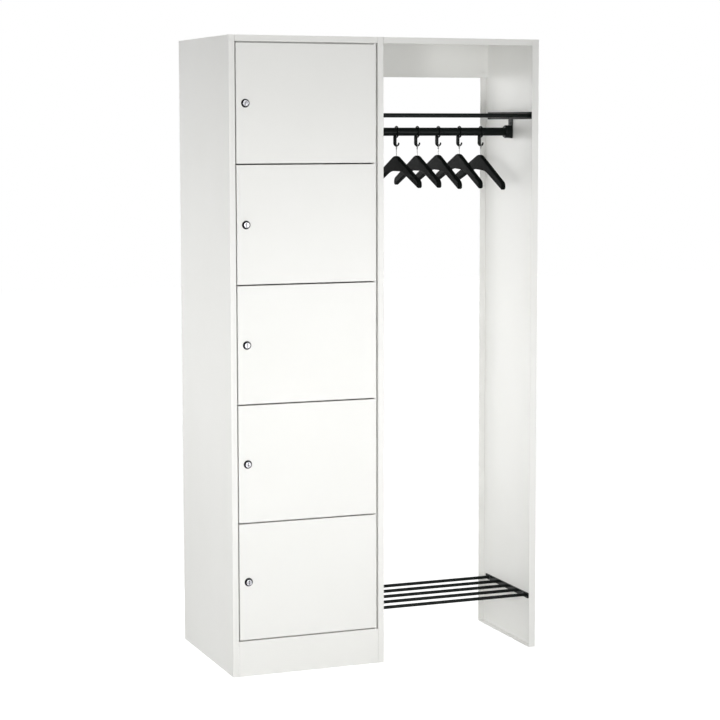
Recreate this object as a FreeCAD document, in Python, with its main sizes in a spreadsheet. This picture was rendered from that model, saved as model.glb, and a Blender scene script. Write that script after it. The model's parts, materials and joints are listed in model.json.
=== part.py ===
import FreeCAD, Part
import os
import re
import Sketcher

# Locker column with five doors joined to an open coat bay, millimetres, +Z up, front towards -Y.
# Every piece is drawn in cabinet coordinates: x from the left outer face, y back from the front
# plane, z up from the floor. The cabinet placement then centres the whole unit on the origin.

DOOR_COUNT = 5
TUBE_COUNT = 5
HANGER_COUNT = 5

SIZES = {
    # Overall
    "overall_height": (1850, "height of the side panels"),
    "locker_width": (470, "locker column over its side panel and partition"),
    "locker_depth": (500, "depth of the locker column"),
    "bay_width": (500, "coat bay from the partition to the right outer face"),
    "bay_depth": (380, "depth of the coat bay"),
    # Folded sheet
    "sheet_steel": (1.0, "sheet thickness"),
    "fold_round": (0.8, "outer rounding of a fold"),
    "locker_strip": (17.5, "front strip of the left side and the partition"),
    "bay_strip": (21.5, "front strip of the right side"),
    "strip_return": (18, "return lip behind a front strip"),
    "rear_flange": (20, "rear flange of a side panel"),
    "foot_flange": (15, "foot flange of the left side and the partition"),
    "top_rail": (18, "height of the front rails under the tops"),
    "rail_seam": (0.7, "joint between a front rail or the plinth and the strip beside it"),
    "plinth_height": (104, "height of the plinth front"),
    "shelf_flange": (20, "front flange of a compartment shelf"),
    "shelf_side": (15, "side flange of a compartment shelf"),
    "shelf_drop": (9, "compartment shelf below the gap between two doors"),
    # Doors
    "door_gap": (4, "gap above, below and left of a door"),
    "hinge_gap": (4.6, "gap between the doors and the partition strip"),
    "door_depth": (18, "depth of a door pan"),
    "door_lip": (8, "inner return lip of a door pan"),
    "door_round": (1.2, "rounding of a door's front edges"),
    "hinge_round": (3.5, "rounding of a door's hinge edge about its pins"),
    "post_play": (1.5, "space between a closed door and the hinge post"),
    "post_thick": (2, "thickness of the hinge post"),
    "post_width": (29, "width of the hinge post"),
    "lug_thick": (3, "thickness of a hinge lug"),
    "lug_setback": (0.4, "lug behind the front plane"),
    "pin_radius": (2, "hinge pin"),
    "pin_play": (0.06, "running clearance of a hinge pin"),
    "pin_seat": (0.02, "seat clearance of a fixed pin"),
    "pin_reach": (9, "pin length inside a door"),
    "buffer_radius": (4, "door buffer"),
    "buffer_play": (0.3, "space between a closed door and its buffer"),
    "buffer_inset": (5, "buffer from the door's free edge"),
    # Locks
    "lock_inset": (27, "lock axis from the door's free edge"),
    "rosette_radius": (12.5, "lock rosette at the door"),
    "rosette_nose": (10.2, "lock rosette at its front"),
    "rosette_thick": (6, "rosette thickness"),
    "barrel_radius": (10, "threaded barrel of the lock"),
    "barrel_play": (0.1, "clearance of the barrel in the door"),
    "nut_width": (26, "lock nut across flats"),
    "nut_thick": (4, "lock nut"),
    "cap_radius": (8.4, "front cap of the lock core"),
    "cap_thick": (0.8, "front cap of the lock core"),
    "core_radius": (7.4, "lock core in its bore"),
    "core_play": (0.08, "running clearance of the core"),
    "key_slot_width": (1.6, "key slot"),
    "key_slot_height": (8.5, "key slot"),
    "key_slot_depth": (7, "key slot"),
    "cam_length": (40, "cam from the lock axis to its tip"),
    "cam_width": (14, "cam"),
    "cam_thick": (2, "cam"),
    "cam_play": (1.3, "cam behind the strip's return lip"),
    "cam_boss": (4, "boss that the cam sits on"),
    "cam_screw_head": (6, "head radius of the cam screw"),
    "cam_screw_thick": (2.5, "head of the cam screw"),
    "cam_screw_shank": (2, "shank radius of the cam screw"),
    "cam_screw_length": (9, "shank of the cam screw"),
    # Racks
    "end_bar_thick": (4, "end bars and drop brackets"),
    "rack_front": (44, "front of the end bars behind the front plane"),
    "rack_length": (312, "end bar length"),
    "tube_inset": (20, "first and last tube from the bar's end"),
    "tube_wall": (1.5, "wall of the rack tubes"),
    "hat_shelf_drop": (214, "top of the hat shelf's end bars below the unit's top"),
    "hat_bar_height": (22, "hat shelf end bar"),
    "hat_tube_radius": (6, "hat shelf tube"),
    "shoe_rack_top": (158, "top of the shoe rack's end bars"),
    "shoe_bar_height": (16, "shoe rack end bar"),
    "shoe_tube_radius": (5, "shoe rack tube"),
    "screw_inset": (34, "rack screw from the bar's end"),
    "screw_radius": (2.5, "rack screw shank"),
    "screw_play": (0.1, "clearance hole of a rack screw"),
    "screw_head": (4.5, "head radius of a rack screw"),
    "screw_head_thick": (2.2, "head of a rack screw"),
    # Coat rail
    "rail_setback": (190, "rail axis behind the front plane"),
    "rail_drop": (60, "rail axis below the top of the hat shelf's end bars"),
    "rail_radius": (12.5, "coat rail tube"),
    "rail_wall": (1.5, "wall of the coat rail"),
    "bracket_width": (25, "drop bracket"),
    "bracket_drop": (20, "drop bracket below the rail axis"),
    "socket_radius": (19.6, "rim of a rail socket"),
    "socket_rim": (16, "length of the socket's rim"),
    "socket_nose": (17.5, "radius at the socket's nose"),
    "socket_length": (20, "length of a socket"),
    "socket_floor": (2, "floor of a socket"),
    "socket_play": (0.1, "clearance of the rail in its socket"),
    # Rear traverse
    "traverse_height": (105, "rear traverse below the bay top"),
    "traverse_depth": (13, "depth of the traverse channel"),
    "traverse_hole": (4, "radius of a wall-fixing hole"),
    "traverse_hole_inset": (18, "wall-fixing hole from the traverse's end"),
    "traverse_hole_rise": (18, "wall-fixing hole above the traverse's lower edge"),
    # Ring hooks
    "ring_radius": (15.8, "ring hook, centre line"),
    "ring_wire": (2.5, "ring hook, section radius"),
    "seat_gap": (0.3, "gap where one hanging piece rests on another"),
    "hook_drop": (41.8, "hook bar below the ring's centre"),
    "bowl_radius": (7.5, "hook bowl, centre line"),
    "bowl_wire": (2.5, "hook bowl, section radius"),
    "stem_radius": (4.8, "hook stem"),
    "stem_shift": (5, "hook stem beside the ring's centre"),
    # Hangers
    "wire_radius": (1.25, "hanger wire"),
    "eye_radius": (4.6, "eye of the hanger wire, centre line"),
    "collar_radius": (2.1, "wound neck of the wire under its eye"),
    "collar_length": (5, "wound neck of the wire under its eye"),
    "wire_play": (0.1, "clearance of the wire in the hanger"),
    "bead_radius": (4, "bead on the wire inside the crown"),
    "bead_thick": (3, "bead on the wire"),
    "bead_depth": (14, "bead seat below the crown's top"),
    "cavity_play": (1.2, "space round the bead"),
    "hanger_length": (351, "hanger over its two arms"),
    "hanger_drop": (96.8, "crown's top to the arm's lower end"),
    "crown_depth": (46.3, "crown's top to the arch"),
    "crown_width": (92, "flat of the arch under the crown"),
    "arm_end": (24, "height of an arm's end"),
    "hanger_thick": (13.6, "thickness of a hanger"),
    "crown_round": (46, "rounding of the crown"),
    "arch_round": (125, "rounding where the arms leave the arch"),
    "shoulder_round": (16, "upper rounding of an arm's end"),
    "tip_round": (6.9, "lower rounding of an arm's end"),
    "hanger_round": (4.2, "rounding of the hanger's edges"),
    # Hangers along the rail from the left outer face, and how they hang at rest in degrees
    "hanger_place_1": (587.3, "ring hook 1"),
    "hanger_place_2": (655.4, "ring hook 2"),
    "hanger_place_3": (724.8, "ring hook 3"),
    "hanger_place_4": (794.6, "ring hook 4"),
    "hanger_place_5": (866.2, "ring hook 5"),
    "hanger_turn_1": (1.4, "swivel of hanger 1"),
    "hanger_turn_2": (-0.2, "swivel of hanger 2"),
    "hanger_turn_3": (-0.5, "swivel of hanger 3"),
    "hanger_turn_4": (-1.0, "swivel of hanger 4"),
    "hanger_turn_5": (0.1, "swivel of hanger 5"),
    "wire_drop_1": (30.0, "crown of hanger 1 below the hook bar"),
    "wire_drop_2": (28.9, "crown of hanger 2 below the hook bar"),
    "wire_drop_3": (27.3, "crown of hanger 3 below the hook bar"),
    "wire_drop_4": (24.9, "crown of hanger 4 below the hook bar"),
    "wire_drop_5": (28.0, "crown of hanger 5 below the hook bar"),
    "wire_tilt_1": (-0.3, "swing of wire 1"),
    "wire_tilt_2": (0.1, "swing of wire 2"),
    "wire_tilt_3": (2.1, "swing of wire 3"),
    "wire_tilt_4": (2.6, "swing of wire 4"),
    "wire_tilt_5": (3.2, "swing of wire 5"),
}

doc = FreeCAD.newDocument("LockerCoatBay")
sheet = doc.addObject("Spreadsheet::Sheet", "Sizes")
for row, (alias, (value, note)) in enumerate(SIZES.items(), start=1):
    sheet.set(f"A{row}", note)
    sheet.set(f"B{row}", str(value))
    sheet.setAlias(f"B{row}", alias)
doc.recompute()

# Derived places, written once in terms of the sheet
HAT_SHELF_TOP = "(overall_height - hat_shelf_drop)"
RAIL_LEVEL = f"({HAT_SHELF_TOP} - rail_drop)"
DOOR_LEFT = "(locker_strip + door_gap)"
DOOR_RIGHT = "(locker_width - locker_strip - hinge_gap)"
DOOR_WIDTH = f"({DOOR_RIGHT} - {DOOR_LEFT})"
DOOR_ZONE = "(overall_height - top_rail - plinth_height)"
DOOR_HEIGHT = f"(({DOOR_ZONE} - {DOOR_COUNT + 1} * door_gap) / {DOOR_COUNT})"
DOOR_PITCH = f"({DOOR_HEIGHT} + door_gap)"
PIN_X = f"({DOOR_RIGHT} - hinge_round)"
POST_FRONT = "(door_depth + post_play)"
SHELF_FRONT = f"({POST_FRONT} + post_thick)"
BACK_FACE = "(locker_depth - 2 * sheet_steel)"
LOCK_X = f"({DOOR_LEFT} + lock_inset)"
CAM_FRONT = "(strip_return + cam_play)"
TOTAL_WIDTH = "(locker_width + bay_width)"
BAY_RIGHT = f"({TOTAL_WIDTH} - sheet_steel)"
BARREL_LENGTH = f"({CAM_FRONT} - seat_gap)"
LOCK_PROUD = "(rosette_thick + seat_gap + cap_thick)"
TUBE_PITCH = f"((rack_length - 2 * tube_inset) / {TUBE_COUNT - 1})"
RING_LEVEL = f"({RAIL_LEVEL} + rail_radius + seat_gap - ring_radius + ring_wire)"
BAR_LEVEL = f"({RING_LEVEL} - hook_drop)"
CABINET = (f"-{TOTAL_WIDTH} / 2", f"-(locker_depth - {LOCK_PROUD}) / 2", "0")

PLANE_ROLES = {"x": "YZ_Plane", "y": "XZ_Plane", "z": "XY_Plane"}
TOUCH = 1e-4

pieces = []


def bound(text):
    """Writes an expression on size names as one that reads the sheet."""
    return re.sub(r"\b[a-z]\w+\b(?!\()", lambda word: "Sizes." + word.group(), text)


def value(text):
    """Works out an expression on size names as a number."""
    return float(sheet.evalExpression(bound(text)))


def bind(feature, prop, text):
    """Ties one property of an object to the sheet."""
    feature.setExpression(prop, bound(text))


def place(feature, x, y, z, axis=None, angle="0"):
    """Ties an object's placement to the sheet, with a turn about one axis in degrees."""
    if axis is not None:
        turn = FreeCAD.Rotation(FreeCAD.Vector(*axis), value(angle))
        feature.Placement = FreeCAD.Placement(FreeCAD.Vector(), turn)
        if re.search("[a-z]", angle):
            bind(feature, "Placement.Rotation.Angle", angle)
    bind(feature, "Placement.Base.x", x)
    bind(feature, "Placement.Base.y", y)
    bind(feature, "Placement.Base.z", z)


def in_cabinet(x="0", y="0", z="0"):
    """Turns cabinet coordinates into the unit's own frame."""
    return tuple(f"{base} + {offset}" for base, offset in zip(CABINET, (x, y, z)))


def keep(feature, label):
    """Names a finished piece and lists it for writing."""
    feature.Label = label
    pieces.append(feature)
    return feature


def new_body(label):
    """Starts a PartDesign body that becomes one piece, placed in the cabinet."""
    body = doc.addObject("PartDesign::Body", "Body_" + label)
    place(body, *in_cabinet())
    return keep(body, label)


def new_sketch(body, axis, start="0"):
    """Puts a sketch on the body's plane square to an axis, at a distance along that axis."""
    role = PLANE_ROLES[axis]
    plane = next(item for item in body.Origin.OriginFeatures if item.Role == role)
    sketch = body.newObject("Sketcher::SketchObject", "Sketch_" + body.Label)
    sketch.AttachmentSupport = [(plane, "")]
    sketch.MapMode = "FlatFace"
    sign = "-" if axis == "y" else ""
    bind(sketch, "AttachmentOffset.Base.z", f"{sign}({start})")
    return sketch


def fix_point(sketch, geometry, position, x, y):
    """Holds one point of a sketch at two expressions from its origin."""
    for kind, text in (("DistanceX", x), ("DistanceY", y)):
        constraint = Sketcher.Constraint(kind, -1, 1, geometry, position, value(text))
        index = sketch.addConstraint(constraint)
        sketch.setExpression(f"Constraints[{index}]", bound(text))


def draw_polygon(sketch, points):
    """Draws a closed outline through points that are given as pairs of expressions."""
    first = sketch.GeometryCount
    places = [FreeCAD.Vector(value(x), value(y), 0) for x, y in points]
    count = len(points)
    for index in range(count):
        line = Part.LineSegment(places[index], places[(index + 1) % count])
        sketch.addGeometry(line, False)
    for index in range(count):
        following = first + (index + 1) % count
        sketch.addConstraint(Sketcher.Constraint("Coincident", first + index, 2, following, 1))
    for index, (x, y) in enumerate(points):
        fix_point(sketch, first + index, 1, x, y)


def draw_rectangle(sketch, x0, y0, x1, y1):
    """Draws a rectangle between two corners."""
    draw_polygon(sketch, [(x0, y0), (x1, y0), (x1, y1), (x0, y1)])


def draw_circle(sketch, x, y, radius):
    """Draws a circle about a point."""
    centre = FreeCAD.Vector(value(x), value(y), 0)
    circle = Part.Circle(centre, FreeCAD.Vector(0, 0, 1), value(radius))
    geometry = sketch.addGeometry(circle, False)
    fix_point(sketch, geometry, 3, x, y)
    index = sketch.addConstraint(Sketcher.Constraint("Radius", geometry, value(radius)))
    sketch.setExpression(f"Constraints[{index}]", bound(radius))


def pad(body, sketch, axis, length):
    """Pads a sketch towards the positive end of its axis."""
    feature = body.newObject("PartDesign::Pad", "Pad_" + body.Label)
    feature.Profile = sketch
    bind(feature, "Length", length)
    feature.Reversed = axis == "y"
    sketch.Visibility = False
    doc.recompute()
    return feature


def pad_box(body, x0, y0, z0, x1, y1, z1):
    """Pads a rectangle in plan, from z0 to z1."""
    sketch = new_sketch(body, "z", z0)
    draw_rectangle(sketch, x0, y0, x1, y1)
    return pad(body, sketch, "z", f"({z1}) - ({z0})")


def pocket(body, sketch, axis, length):
    """Cuts a sketch towards the positive end of its axis and makes sure that it cut something."""
    before = body.Shape.Volume
    feature = body.newObject("PartDesign::Pocket", "Pocket_" + body.Label)
    feature.Profile = sketch
    bind(feature, "Length", length)
    feature.Reversed = axis != "y"
    sketch.Visibility = False
    doc.recompute()
    if not body.Shape.Volume < before - TOUCH:
        raise ValueError(body.Label + ": a pocket cuts nothing")
    return feature


def edges_at(shape, axis, corners):
    """Lists the straight edges along an axis that pass through one of the given corners."""
    along = "xyz".index(axis)
    across = [index for index in range(3) if index != along]
    names = []
    for number, edge in enumerate(shape.Edges, start=1):
        ends = [vertex.Point for vertex in edge.Vertexes]
        if len(ends) != 2 or edge.Curve.TypeId != "Part::GeomLine":
            continue
        if any(abs(ends[0][index] - ends[1][index]) > TOUCH for index in across):
            continue
        here = [ends[0][index] for index in across]
        if any(abs(here[0] - a) < TOUCH and abs(here[1] - b) < TOUCH for a, b in corners):
            names.append(f"Edge{number}")
    return names


def fillet(body, base, names, radius):
    """Rounds the named edges of a feature."""
    feature = body.newObject("PartDesign::Fillet", "Fillet_" + body.Label)
    feature.Base = (base, names)
    bind(feature, "Radius", radius)
    doc.recompute()
    return feature


def round_corners(body, base, axis, corners, radius):
    """Rounds the edges along an axis at corners that are given as pairs of expressions."""
    places = [(value(a), value(b)) for a, b in corners]
    return fillet(body, base, edges_at(base.Shape, axis, places), radius)


def box(x0, y0, z0, x1, y1, z1):
    """Makes a box between two corners."""
    feature = doc.addObject("Part::Box", "Box")
    bind(feature, "Length", f"({x1}) - ({x0})")
    bind(feature, "Width", f"({y1}) - ({y0})")
    bind(feature, "Height", f"({z1}) - ({z0})")
    place(feature, x0, y0, z0)
    return feature


def cylinder(radius, start, length, axis, a, b):
    """Makes a cylinder along an axis, from start, with its centre at the two other coordinates."""
    feature = doc.addObject("Part::Cylinder", "Cylinder")
    bind(feature, "Radius", radius)
    bind(feature, "Height", length)
    if axis == "x":
        place(feature, start, a, b, (0, 1, 0), "90")
    elif axis == "y":
        place(feature, a, start, b, (1, 0, 0), "-90")
    else:
        place(feature, a, b, start)
    return feature


def torus(ring, section, x, y, z, axis=None, sweep="360"):
    """Makes a torus, or a part of one, square to the given turn of its axis."""
    feature = doc.addObject("Part::Torus", "Torus")
    bind(feature, "Radius1", ring)
    bind(feature, "Radius2", section)
    bind(feature, "Angle3", sweep)
    if axis is None:
        place(feature, x, y, z)
    else:
        place(feature, x, y, z, axis, "90")
    return feature


def cut(base, tool):
    """Takes one shape out of another."""
    feature = doc.addObject("Part::Cut", "Cut")
    feature.Base = base
    feature.Tool = tool
    return feature


def fuse(shapes):
    """Joins shapes into one solid."""
    feature = doc.addObject("Part::MultiFuse", "Fuse")
    feature.Shapes = shapes
    return feature


def group(shapes, label):
    """Keeps several separate solids as one piece, placed in the cabinet."""
    feature = doc.addObject("Part::Compound", "Group_" + label)
    feature.Links = shapes
    place(feature, *in_cabinet())
    return keep(feature, label)


def door_level(number):
    """Gives the lower edge of a door, counted from the top."""
    return f"(plinth_height + door_gap + {DOOR_COUNT - number} * {DOOR_PITCH})"


def gap_level(number):
    """Gives the middle of the gap under a door."""
    return f"({door_level(number)} - door_gap / 2)"


# Side panels: each a web with its folded front post, rear flange and foot flange

def plain_body(label):
    """Starts a PartDesign body that is one solid of a folded panel."""
    return doc.addObject("PartDesign::Body", "Body_" + label)


def flat_box(label, x0, y0, z0, x1, y1, z1):
    """Makes one flat wall of a folded panel as a body of its own."""
    body = plain_body(label)
    pad_box(body, x0, y0, z0, x1, y1, z1)
    return body


def deep_side(label, mirrored):
    """Makes the left side or the partition: front post with return lip, web, two flanges."""
    def across(text):
        return f"(locker_width - ({text}))" if mirrored else f"({text})"

    def span(near, far):
        return (across(far), across(near)) if mirrored else (across(near), across(far))

    post = plain_body(label + "_post")
    outline = new_sketch(post, "z")
    draw_polygon(outline, [
        (across("0"), "0"),
        (across("locker_strip"), "0"),
        (across("locker_strip"), "strip_return"),
        (across("locker_strip - sheet_steel"), "strip_return"),
        (across("locker_strip - sheet_steel"), "sheet_steel"),
        (across("0"), "sheet_steel"),
    ])
    base = pad(post, outline, "z", "overall_height - sheet_steel")
    x0, x1 = span("0", "locker_strip")
    base = pad_box(post, x0, "0", "overall_height - sheet_steel", x1, "sheet_steel",
                   "overall_height")
    round_corners(post, base, "z", [(across("0"), "0")], "fold_round")

    x0, x1 = span("0", "sheet_steel")
    web = flat_box(label + "_web", x0, "sheet_steel", "0", x1, "locker_depth - sheet_steel",
                   "overall_height")
    x0, x1 = span("0", "rear_flange")
    rear = plain_body(label + "_rear")
    base = pad_box(rear, x0, "locker_depth - sheet_steel", "0", x1, "locker_depth",
                   "overall_height - sheet_steel")
    round_corners(rear, base, "z", [(across("0"), "locker_depth")], "fold_round")
    x0, x1 = span("sheet_steel", "foot_flange")
    foot = flat_box(label + "_foot", x0, "sheet_steel", "0", x1, "locker_depth - sheet_steel",
                    "sheet_steel")
    return web, [post, rear, foot]


def screw_holes(body, x_start, places):
    """Drills the clearance holes of the rack screws through a panel or bar along X."""
    sketch = new_sketch(body, "x", x_start)
    for y, z in places:
        draw_circle(sketch, y, z, "screw_radius + screw_play")
    pocket(body, sketch, "x", "end_bar_thick + sheet_steel")


def bar_screw_places(top, height):
    """Gives the two screws of one end bar as depth and level."""
    level = f"({top} - {height} / 2)"
    return [("(rack_front + screw_inset)", level),
            ("(rack_front + rack_length - screw_inset)", level)]


BRACKET_SCREW = ("rail_setback", f"(({HAT_SHELF_TOP} - hat_bar_height) * 0.35"
                                 f" + ({RAIL_LEVEL} + socket_radius) * 0.65)")
HAT_SCREWS = bar_screw_places(HAT_SHELF_TOP, "hat_bar_height")
SHOE_SCREWS = bar_screw_places("shoe_rack_top", "shoe_bar_height")
PANEL_SCREWS = HAT_SCREWS + SHOE_SCREWS + [BRACKET_SCREW]

web, folds = deep_side("side_panel_left", mirrored=False)
group([web] + folds, "side_panel_left")

web, folds = deep_side("partition_panel", mirrored=True)
screw_holes(web, "locker_width - end_bar_thick", PANEL_SCREWS)
group([web] + folds, "partition_panel")

BAY_STRIP_LEFT = f"({TOTAL_WIDTH} - bay_strip)"
BAY_REAR_LEFT = f"({TOTAL_WIDTH} - rear_flange)"
web = flat_box("right_web", BAY_RIGHT, "sheet_steel", "0", TOTAL_WIDTH,
               "bay_depth - sheet_steel", "overall_height")
screw_holes(web, f"{BAY_RIGHT} - end_bar_thick / 2", PANEL_SCREWS)
strip = plain_body("right_strip")
base = pad_box(strip, BAY_STRIP_LEFT, "0", "0", TOTAL_WIDTH, "sheet_steel", "overall_height")
round_corners(strip, base, "z", [(TOTAL_WIDTH, "0")], "fold_round")
rear = plain_body("right_rear")
base = pad_box(rear, BAY_REAR_LEFT, "bay_depth - sheet_steel", "0", TOTAL_WIDTH, "bay_depth",
               "overall_height")
round_corners(rear, base, "z", [(TOTAL_WIDTH, "bay_depth")], "fold_round")
foot = flat_box("right_foot", BAY_STRIP_LEFT, "sheet_steel", "0", BAY_RIGHT,
                "bay_depth - sheet_steel", "sheet_steel")
group([web, strip, rear, foot], "side_panel_right")


# Tops, back, base, plinth and shelves

def top_tray(label, x_left, x_right, strip_left, strip_right, depth, lip):
    """Makes a top: plate, front rail between the strips, lip under the rail."""
    body = new_body(label)
    pad_box(body, x_left, "sheet_steel", "overall_height - sheet_steel", x_right, depth,
            "overall_height")
    pad_box(body, strip_left, "0", "overall_height - top_rail", strip_right, "sheet_steel",
            "overall_height")
    base = pad_box(body, strip_left, "0", "overall_height - top_rail", strip_right, lip,
                   "overall_height - top_rail + sheet_steel")
    front_edges = [("0", "overall_height"), ("0", "overall_height - top_rail")]
    return body, base, front_edges


RAIL_LEFT = "(locker_strip + rail_seam)"
RAIL_RIGHT = "(locker_width - locker_strip - rail_seam)"
body, base, edges = top_tray("locker_top", "sheet_steel", "locker_width - sheet_steel",
                             RAIL_LEFT, RAIL_RIGHT, "locker_depth",
                             f"{SHELF_FRONT} + sheet_steel")
base = pad_box(body, RAIL_LEFT, SHELF_FRONT,
               "overall_height - top_rail + door_gap - shelf_drop - shelf_flange", RAIL_RIGHT,
               f"{SHELF_FRONT} + sheet_steel", "overall_height - top_rail + sheet_steel")
base = round_corners(body, base, "x", edges, "fold_round")
hole = new_sketch(body, "z", "overall_height - top_rail - sheet_steel")
draw_circle(hole, PIN_X, "hinge_round", "pin_radius + pin_seat")
pocket(body, hole, "z", "3 * sheet_steel")

body, base, edges = top_tray("coat_bay_top", "locker_width", BAY_RIGHT,
                             "locker_width + rail_seam",
                             f"{TOTAL_WIDTH} - bay_strip - rail_seam",
                             "bay_depth - sheet_steel", "strip_return")
round_corners(body, base, "x", edges, "fold_round")

body = new_body("locker_back")
pad_box(body, "sheet_steel", BACK_FACE, "sheet_steel", "locker_width - sheet_steel",
        "locker_depth - sheet_steel", "overall_height - sheet_steel")

body = new_body("locker_base")
pad_box(body, "sheet_steel", SHELF_FRONT, "plinth_height - sheet_steel",
        "locker_width - sheet_steel", BACK_FACE, "plinth_height")
pad_box(body, "sheet_steel", SHELF_FRONT, "plinth_height - shelf_flange",
        "locker_width - sheet_steel", f"{SHELF_FRONT} + sheet_steel", "plinth_height")

body = new_body("plinth_front")
profile = new_sketch(body, "x", RAIL_LEFT)
draw_polygon(profile, [
    ("0", "0"),
    ("strip_return", "0"),
    ("strip_return", "sheet_steel"),
    ("sheet_steel", "sheet_steel"),
    ("sheet_steel", "plinth_height - sheet_steel"),
    (SHELF_FRONT, "plinth_height - sheet_steel"),
    (SHELF_FRONT, "plinth_height"),
    ("0", "plinth_height"),
])
base = pad(body, profile, "x", f"{RAIL_RIGHT} - {RAIL_LEFT}")
base = round_corners(body, base, "x", [("0", "0"), ("0", "plinth_height")], "fold_round")
hole = new_sketch(body, "z", "plinth_height - 2 * sheet_steel")
draw_circle(hole, PIN_X, "hinge_round", "pin_radius + pin_seat")
pocket(body, hole, "z", "3 * sheet_steel")

for number in range(1, DOOR_COUNT):
    body = new_body(f"compartment_shelf_{number}")
    top = f"({gap_level(number)} - shelf_drop)"
    pad_box(body, "sheet_steel", SHELF_FRONT, f"{top} - sheet_steel",
            "locker_width - sheet_steel", BACK_FACE, top)
    pad_box(body, "sheet_steel", SHELF_FRONT, f"{top} - shelf_flange",
            "locker_width - sheet_steel", f"{SHELF_FRONT} + sheet_steel", top)
    pad_box(body, "sheet_steel", SHELF_FRONT, f"{top} - shelf_side", "2 * sheet_steel",
            BACK_FACE, top)
    pad_box(body, "locker_width - 2 * sheet_steel", SHELF_FRONT, f"{top} - shelf_side",
            "locker_width - sheet_steel", BACK_FACE, top)


# Hinge post, pins and buffers

post = box("locker_width - sheet_steel - post_width", POST_FRONT, "plinth_height",
           "locker_width - sheet_steel", SHELF_FRONT, "overall_height - top_rail")
lugs = []
for number in range(1, DOOR_COUNT):
    low = f"({gap_level(number)} - lug_thick / 2)"
    lug = box(f"{PIN_X} - hinge_round", "lug_setback", low, DOOR_RIGHT, POST_FRONT,
              f"{low} + lug_thick")
    bore = cylinder("pin_radius + pin_seat", f"{low} - lug_thick", "3 * lug_thick", "z",
                    PIN_X, "hinge_round")
    lugs.append(cut(lug, bore))
group([post] + lugs, "hinge_post")

pin_spans = [("overall_height - top_rail - door_gap - pin_reach",
              "door_gap + pin_reach + 3 * sheet_steel")]
for number in range(1, DOOR_COUNT):
    pin_spans.append((f"{gap_level(number)} - door_gap / 2 - pin_reach",
                      "door_gap + 2 * pin_reach"))
pin_spans.append(("plinth_height - 3 * sheet_steel",
                  "door_gap + pin_reach + 3 * sheet_steel"))
pins = [cylinder("pin_radius", start, length, "z", PIN_X, "hinge_round")
        for start, length in pin_spans]
group(pins, "hinge_pins")

buffers = []
for number in range(1, DOOR_COUNT + 1):
    level = (f"({door_level(number)} + {DOOR_HEIGHT} + door_gap / 2 - shelf_drop"
             f" - buffer_radius - sheet_steel / 2)")
    buffers.append(cylinder("buffer_radius", "door_depth + buffer_play",
                            f"{SHELF_FRONT} - door_depth - buffer_play", "y",
                            f"{DOOR_LEFT} + buffer_inset", level))
group(buffers, "door_buffers")


# Rear traverse

body = new_body("rear_traverse")
profile = new_sketch(body, "x", "locker_width")
traverse_back = "bay_depth - sheet_steel"
traverse_front = f"({traverse_back} - traverse_depth)"
traverse_top = "(overall_height - sheet_steel)"
traverse_low = f"({traverse_top} - traverse_height)"
draw_polygon(profile, [
    (traverse_front, traverse_low),
    (traverse_back, traverse_low),
    (traverse_back, f"{traverse_low} + sheet_steel"),
    (f"{traverse_front} + sheet_steel", f"{traverse_low} + sheet_steel"),
    (f"{traverse_front} + sheet_steel", f"{traverse_top} - sheet_steel"),
    (traverse_back, f"{traverse_top} - sheet_steel"),
    (traverse_back, traverse_top),
    (traverse_front, traverse_top),
])
base = pad(body, profile, "x", "bay_width - sheet_steel")
round_corners(body, base, "x", [(traverse_front, traverse_low)], "fold_round")
holes = new_sketch(body, "y", traverse_front + " - sheet_steel")
for x in ("locker_width + traverse_hole_inset", f"{BAY_RIGHT} - traverse_hole_inset"):
    draw_circle(holes, x, f"{traverse_low} + traverse_hole_rise", "traverse_hole")
pocket(body, holes, "y", "3 * sheet_steel")


# Racks: tubes welded between two end bars, each bar screwed to its panel

BAY_LEFT = "locker_width"
BAR_LEFT_END = "(locker_width + end_bar_thick)"
BAR_RIGHT_START = f"({BAY_RIGHT} - end_bar_thick)"


def rack(name, top, height, radius, screws):
    """Makes one rack: a group of tubes and two end bars."""
    tubes = []
    for index in range(TUBE_COUNT):
        y = f"rack_front + tube_inset + {index} * {TUBE_PITCH}"
        z = f"{top} - {height} / 2"
        length = f"{BAR_RIGHT_START} - {BAR_LEFT_END}"
        outer = cylinder(radius, BAR_LEFT_END, length, "x", y, z)
        inner = cylinder(f"{radius} - tube_wall", BAR_LEFT_END, length, "x", y, z)
        tubes.append(cut(outer, inner))
    group(tubes, f"{name}_tubes")
    for side, x0, x1 in (("left", BAY_LEFT, BAR_LEFT_END), ("right", BAR_RIGHT_START, BAY_RIGHT)):
        bar = new_body(f"{name}_bar_{side}")
        base = pad_box(bar, x0, "rack_front", f"{top} - {height}", x1,
                       "rack_front + rack_length", top)
        ends = [(y, z) for y in ("rack_front", "rack_front + rack_length")
                for z in (top, f"{top} - {height}")]
        round_corners(bar, base, "x", ends, "fold_round")
        sketch = new_sketch(bar, "x", f"{x0} - sheet_steel")
        for y, z in screws:
            draw_circle(sketch, y, z, "screw_radius + screw_play")
        pocket(bar, sketch, "x", "end_bar_thick + 2 * sheet_steel")


rack("hat_shelf", HAT_SHELF_TOP, "hat_bar_height", "hat_tube_radius", HAT_SCREWS)
rack("shoe_rack", "shoe_rack_top", "shoe_bar_height", "shoe_tube_radius", SHOE_SCREWS)

shank_length = "end_bar_thick + sheet_steel - seat_gap"
screws = []
for y, z in PANEL_SCREWS:
    head = cylinder("screw_head", BAR_LEFT_END, "screw_head_thick", "x", y, z)
    shank = cylinder("screw_radius", f"{BAR_LEFT_END} - ({shank_length})", shank_length, "x", y, z)
    screws.append(fuse([head, shank]))
    head = cylinder("screw_head", f"{BAR_RIGHT_START} - screw_head_thick", "screw_head_thick",
                    "x", y, z)
    shank = cylinder("screw_radius", BAR_RIGHT_START, shank_length, "x", y, z)
    screws.append(fuse([head, shank]))
group(screws, "rack_screws")


# Coat rail, its drop brackets and sockets

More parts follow.
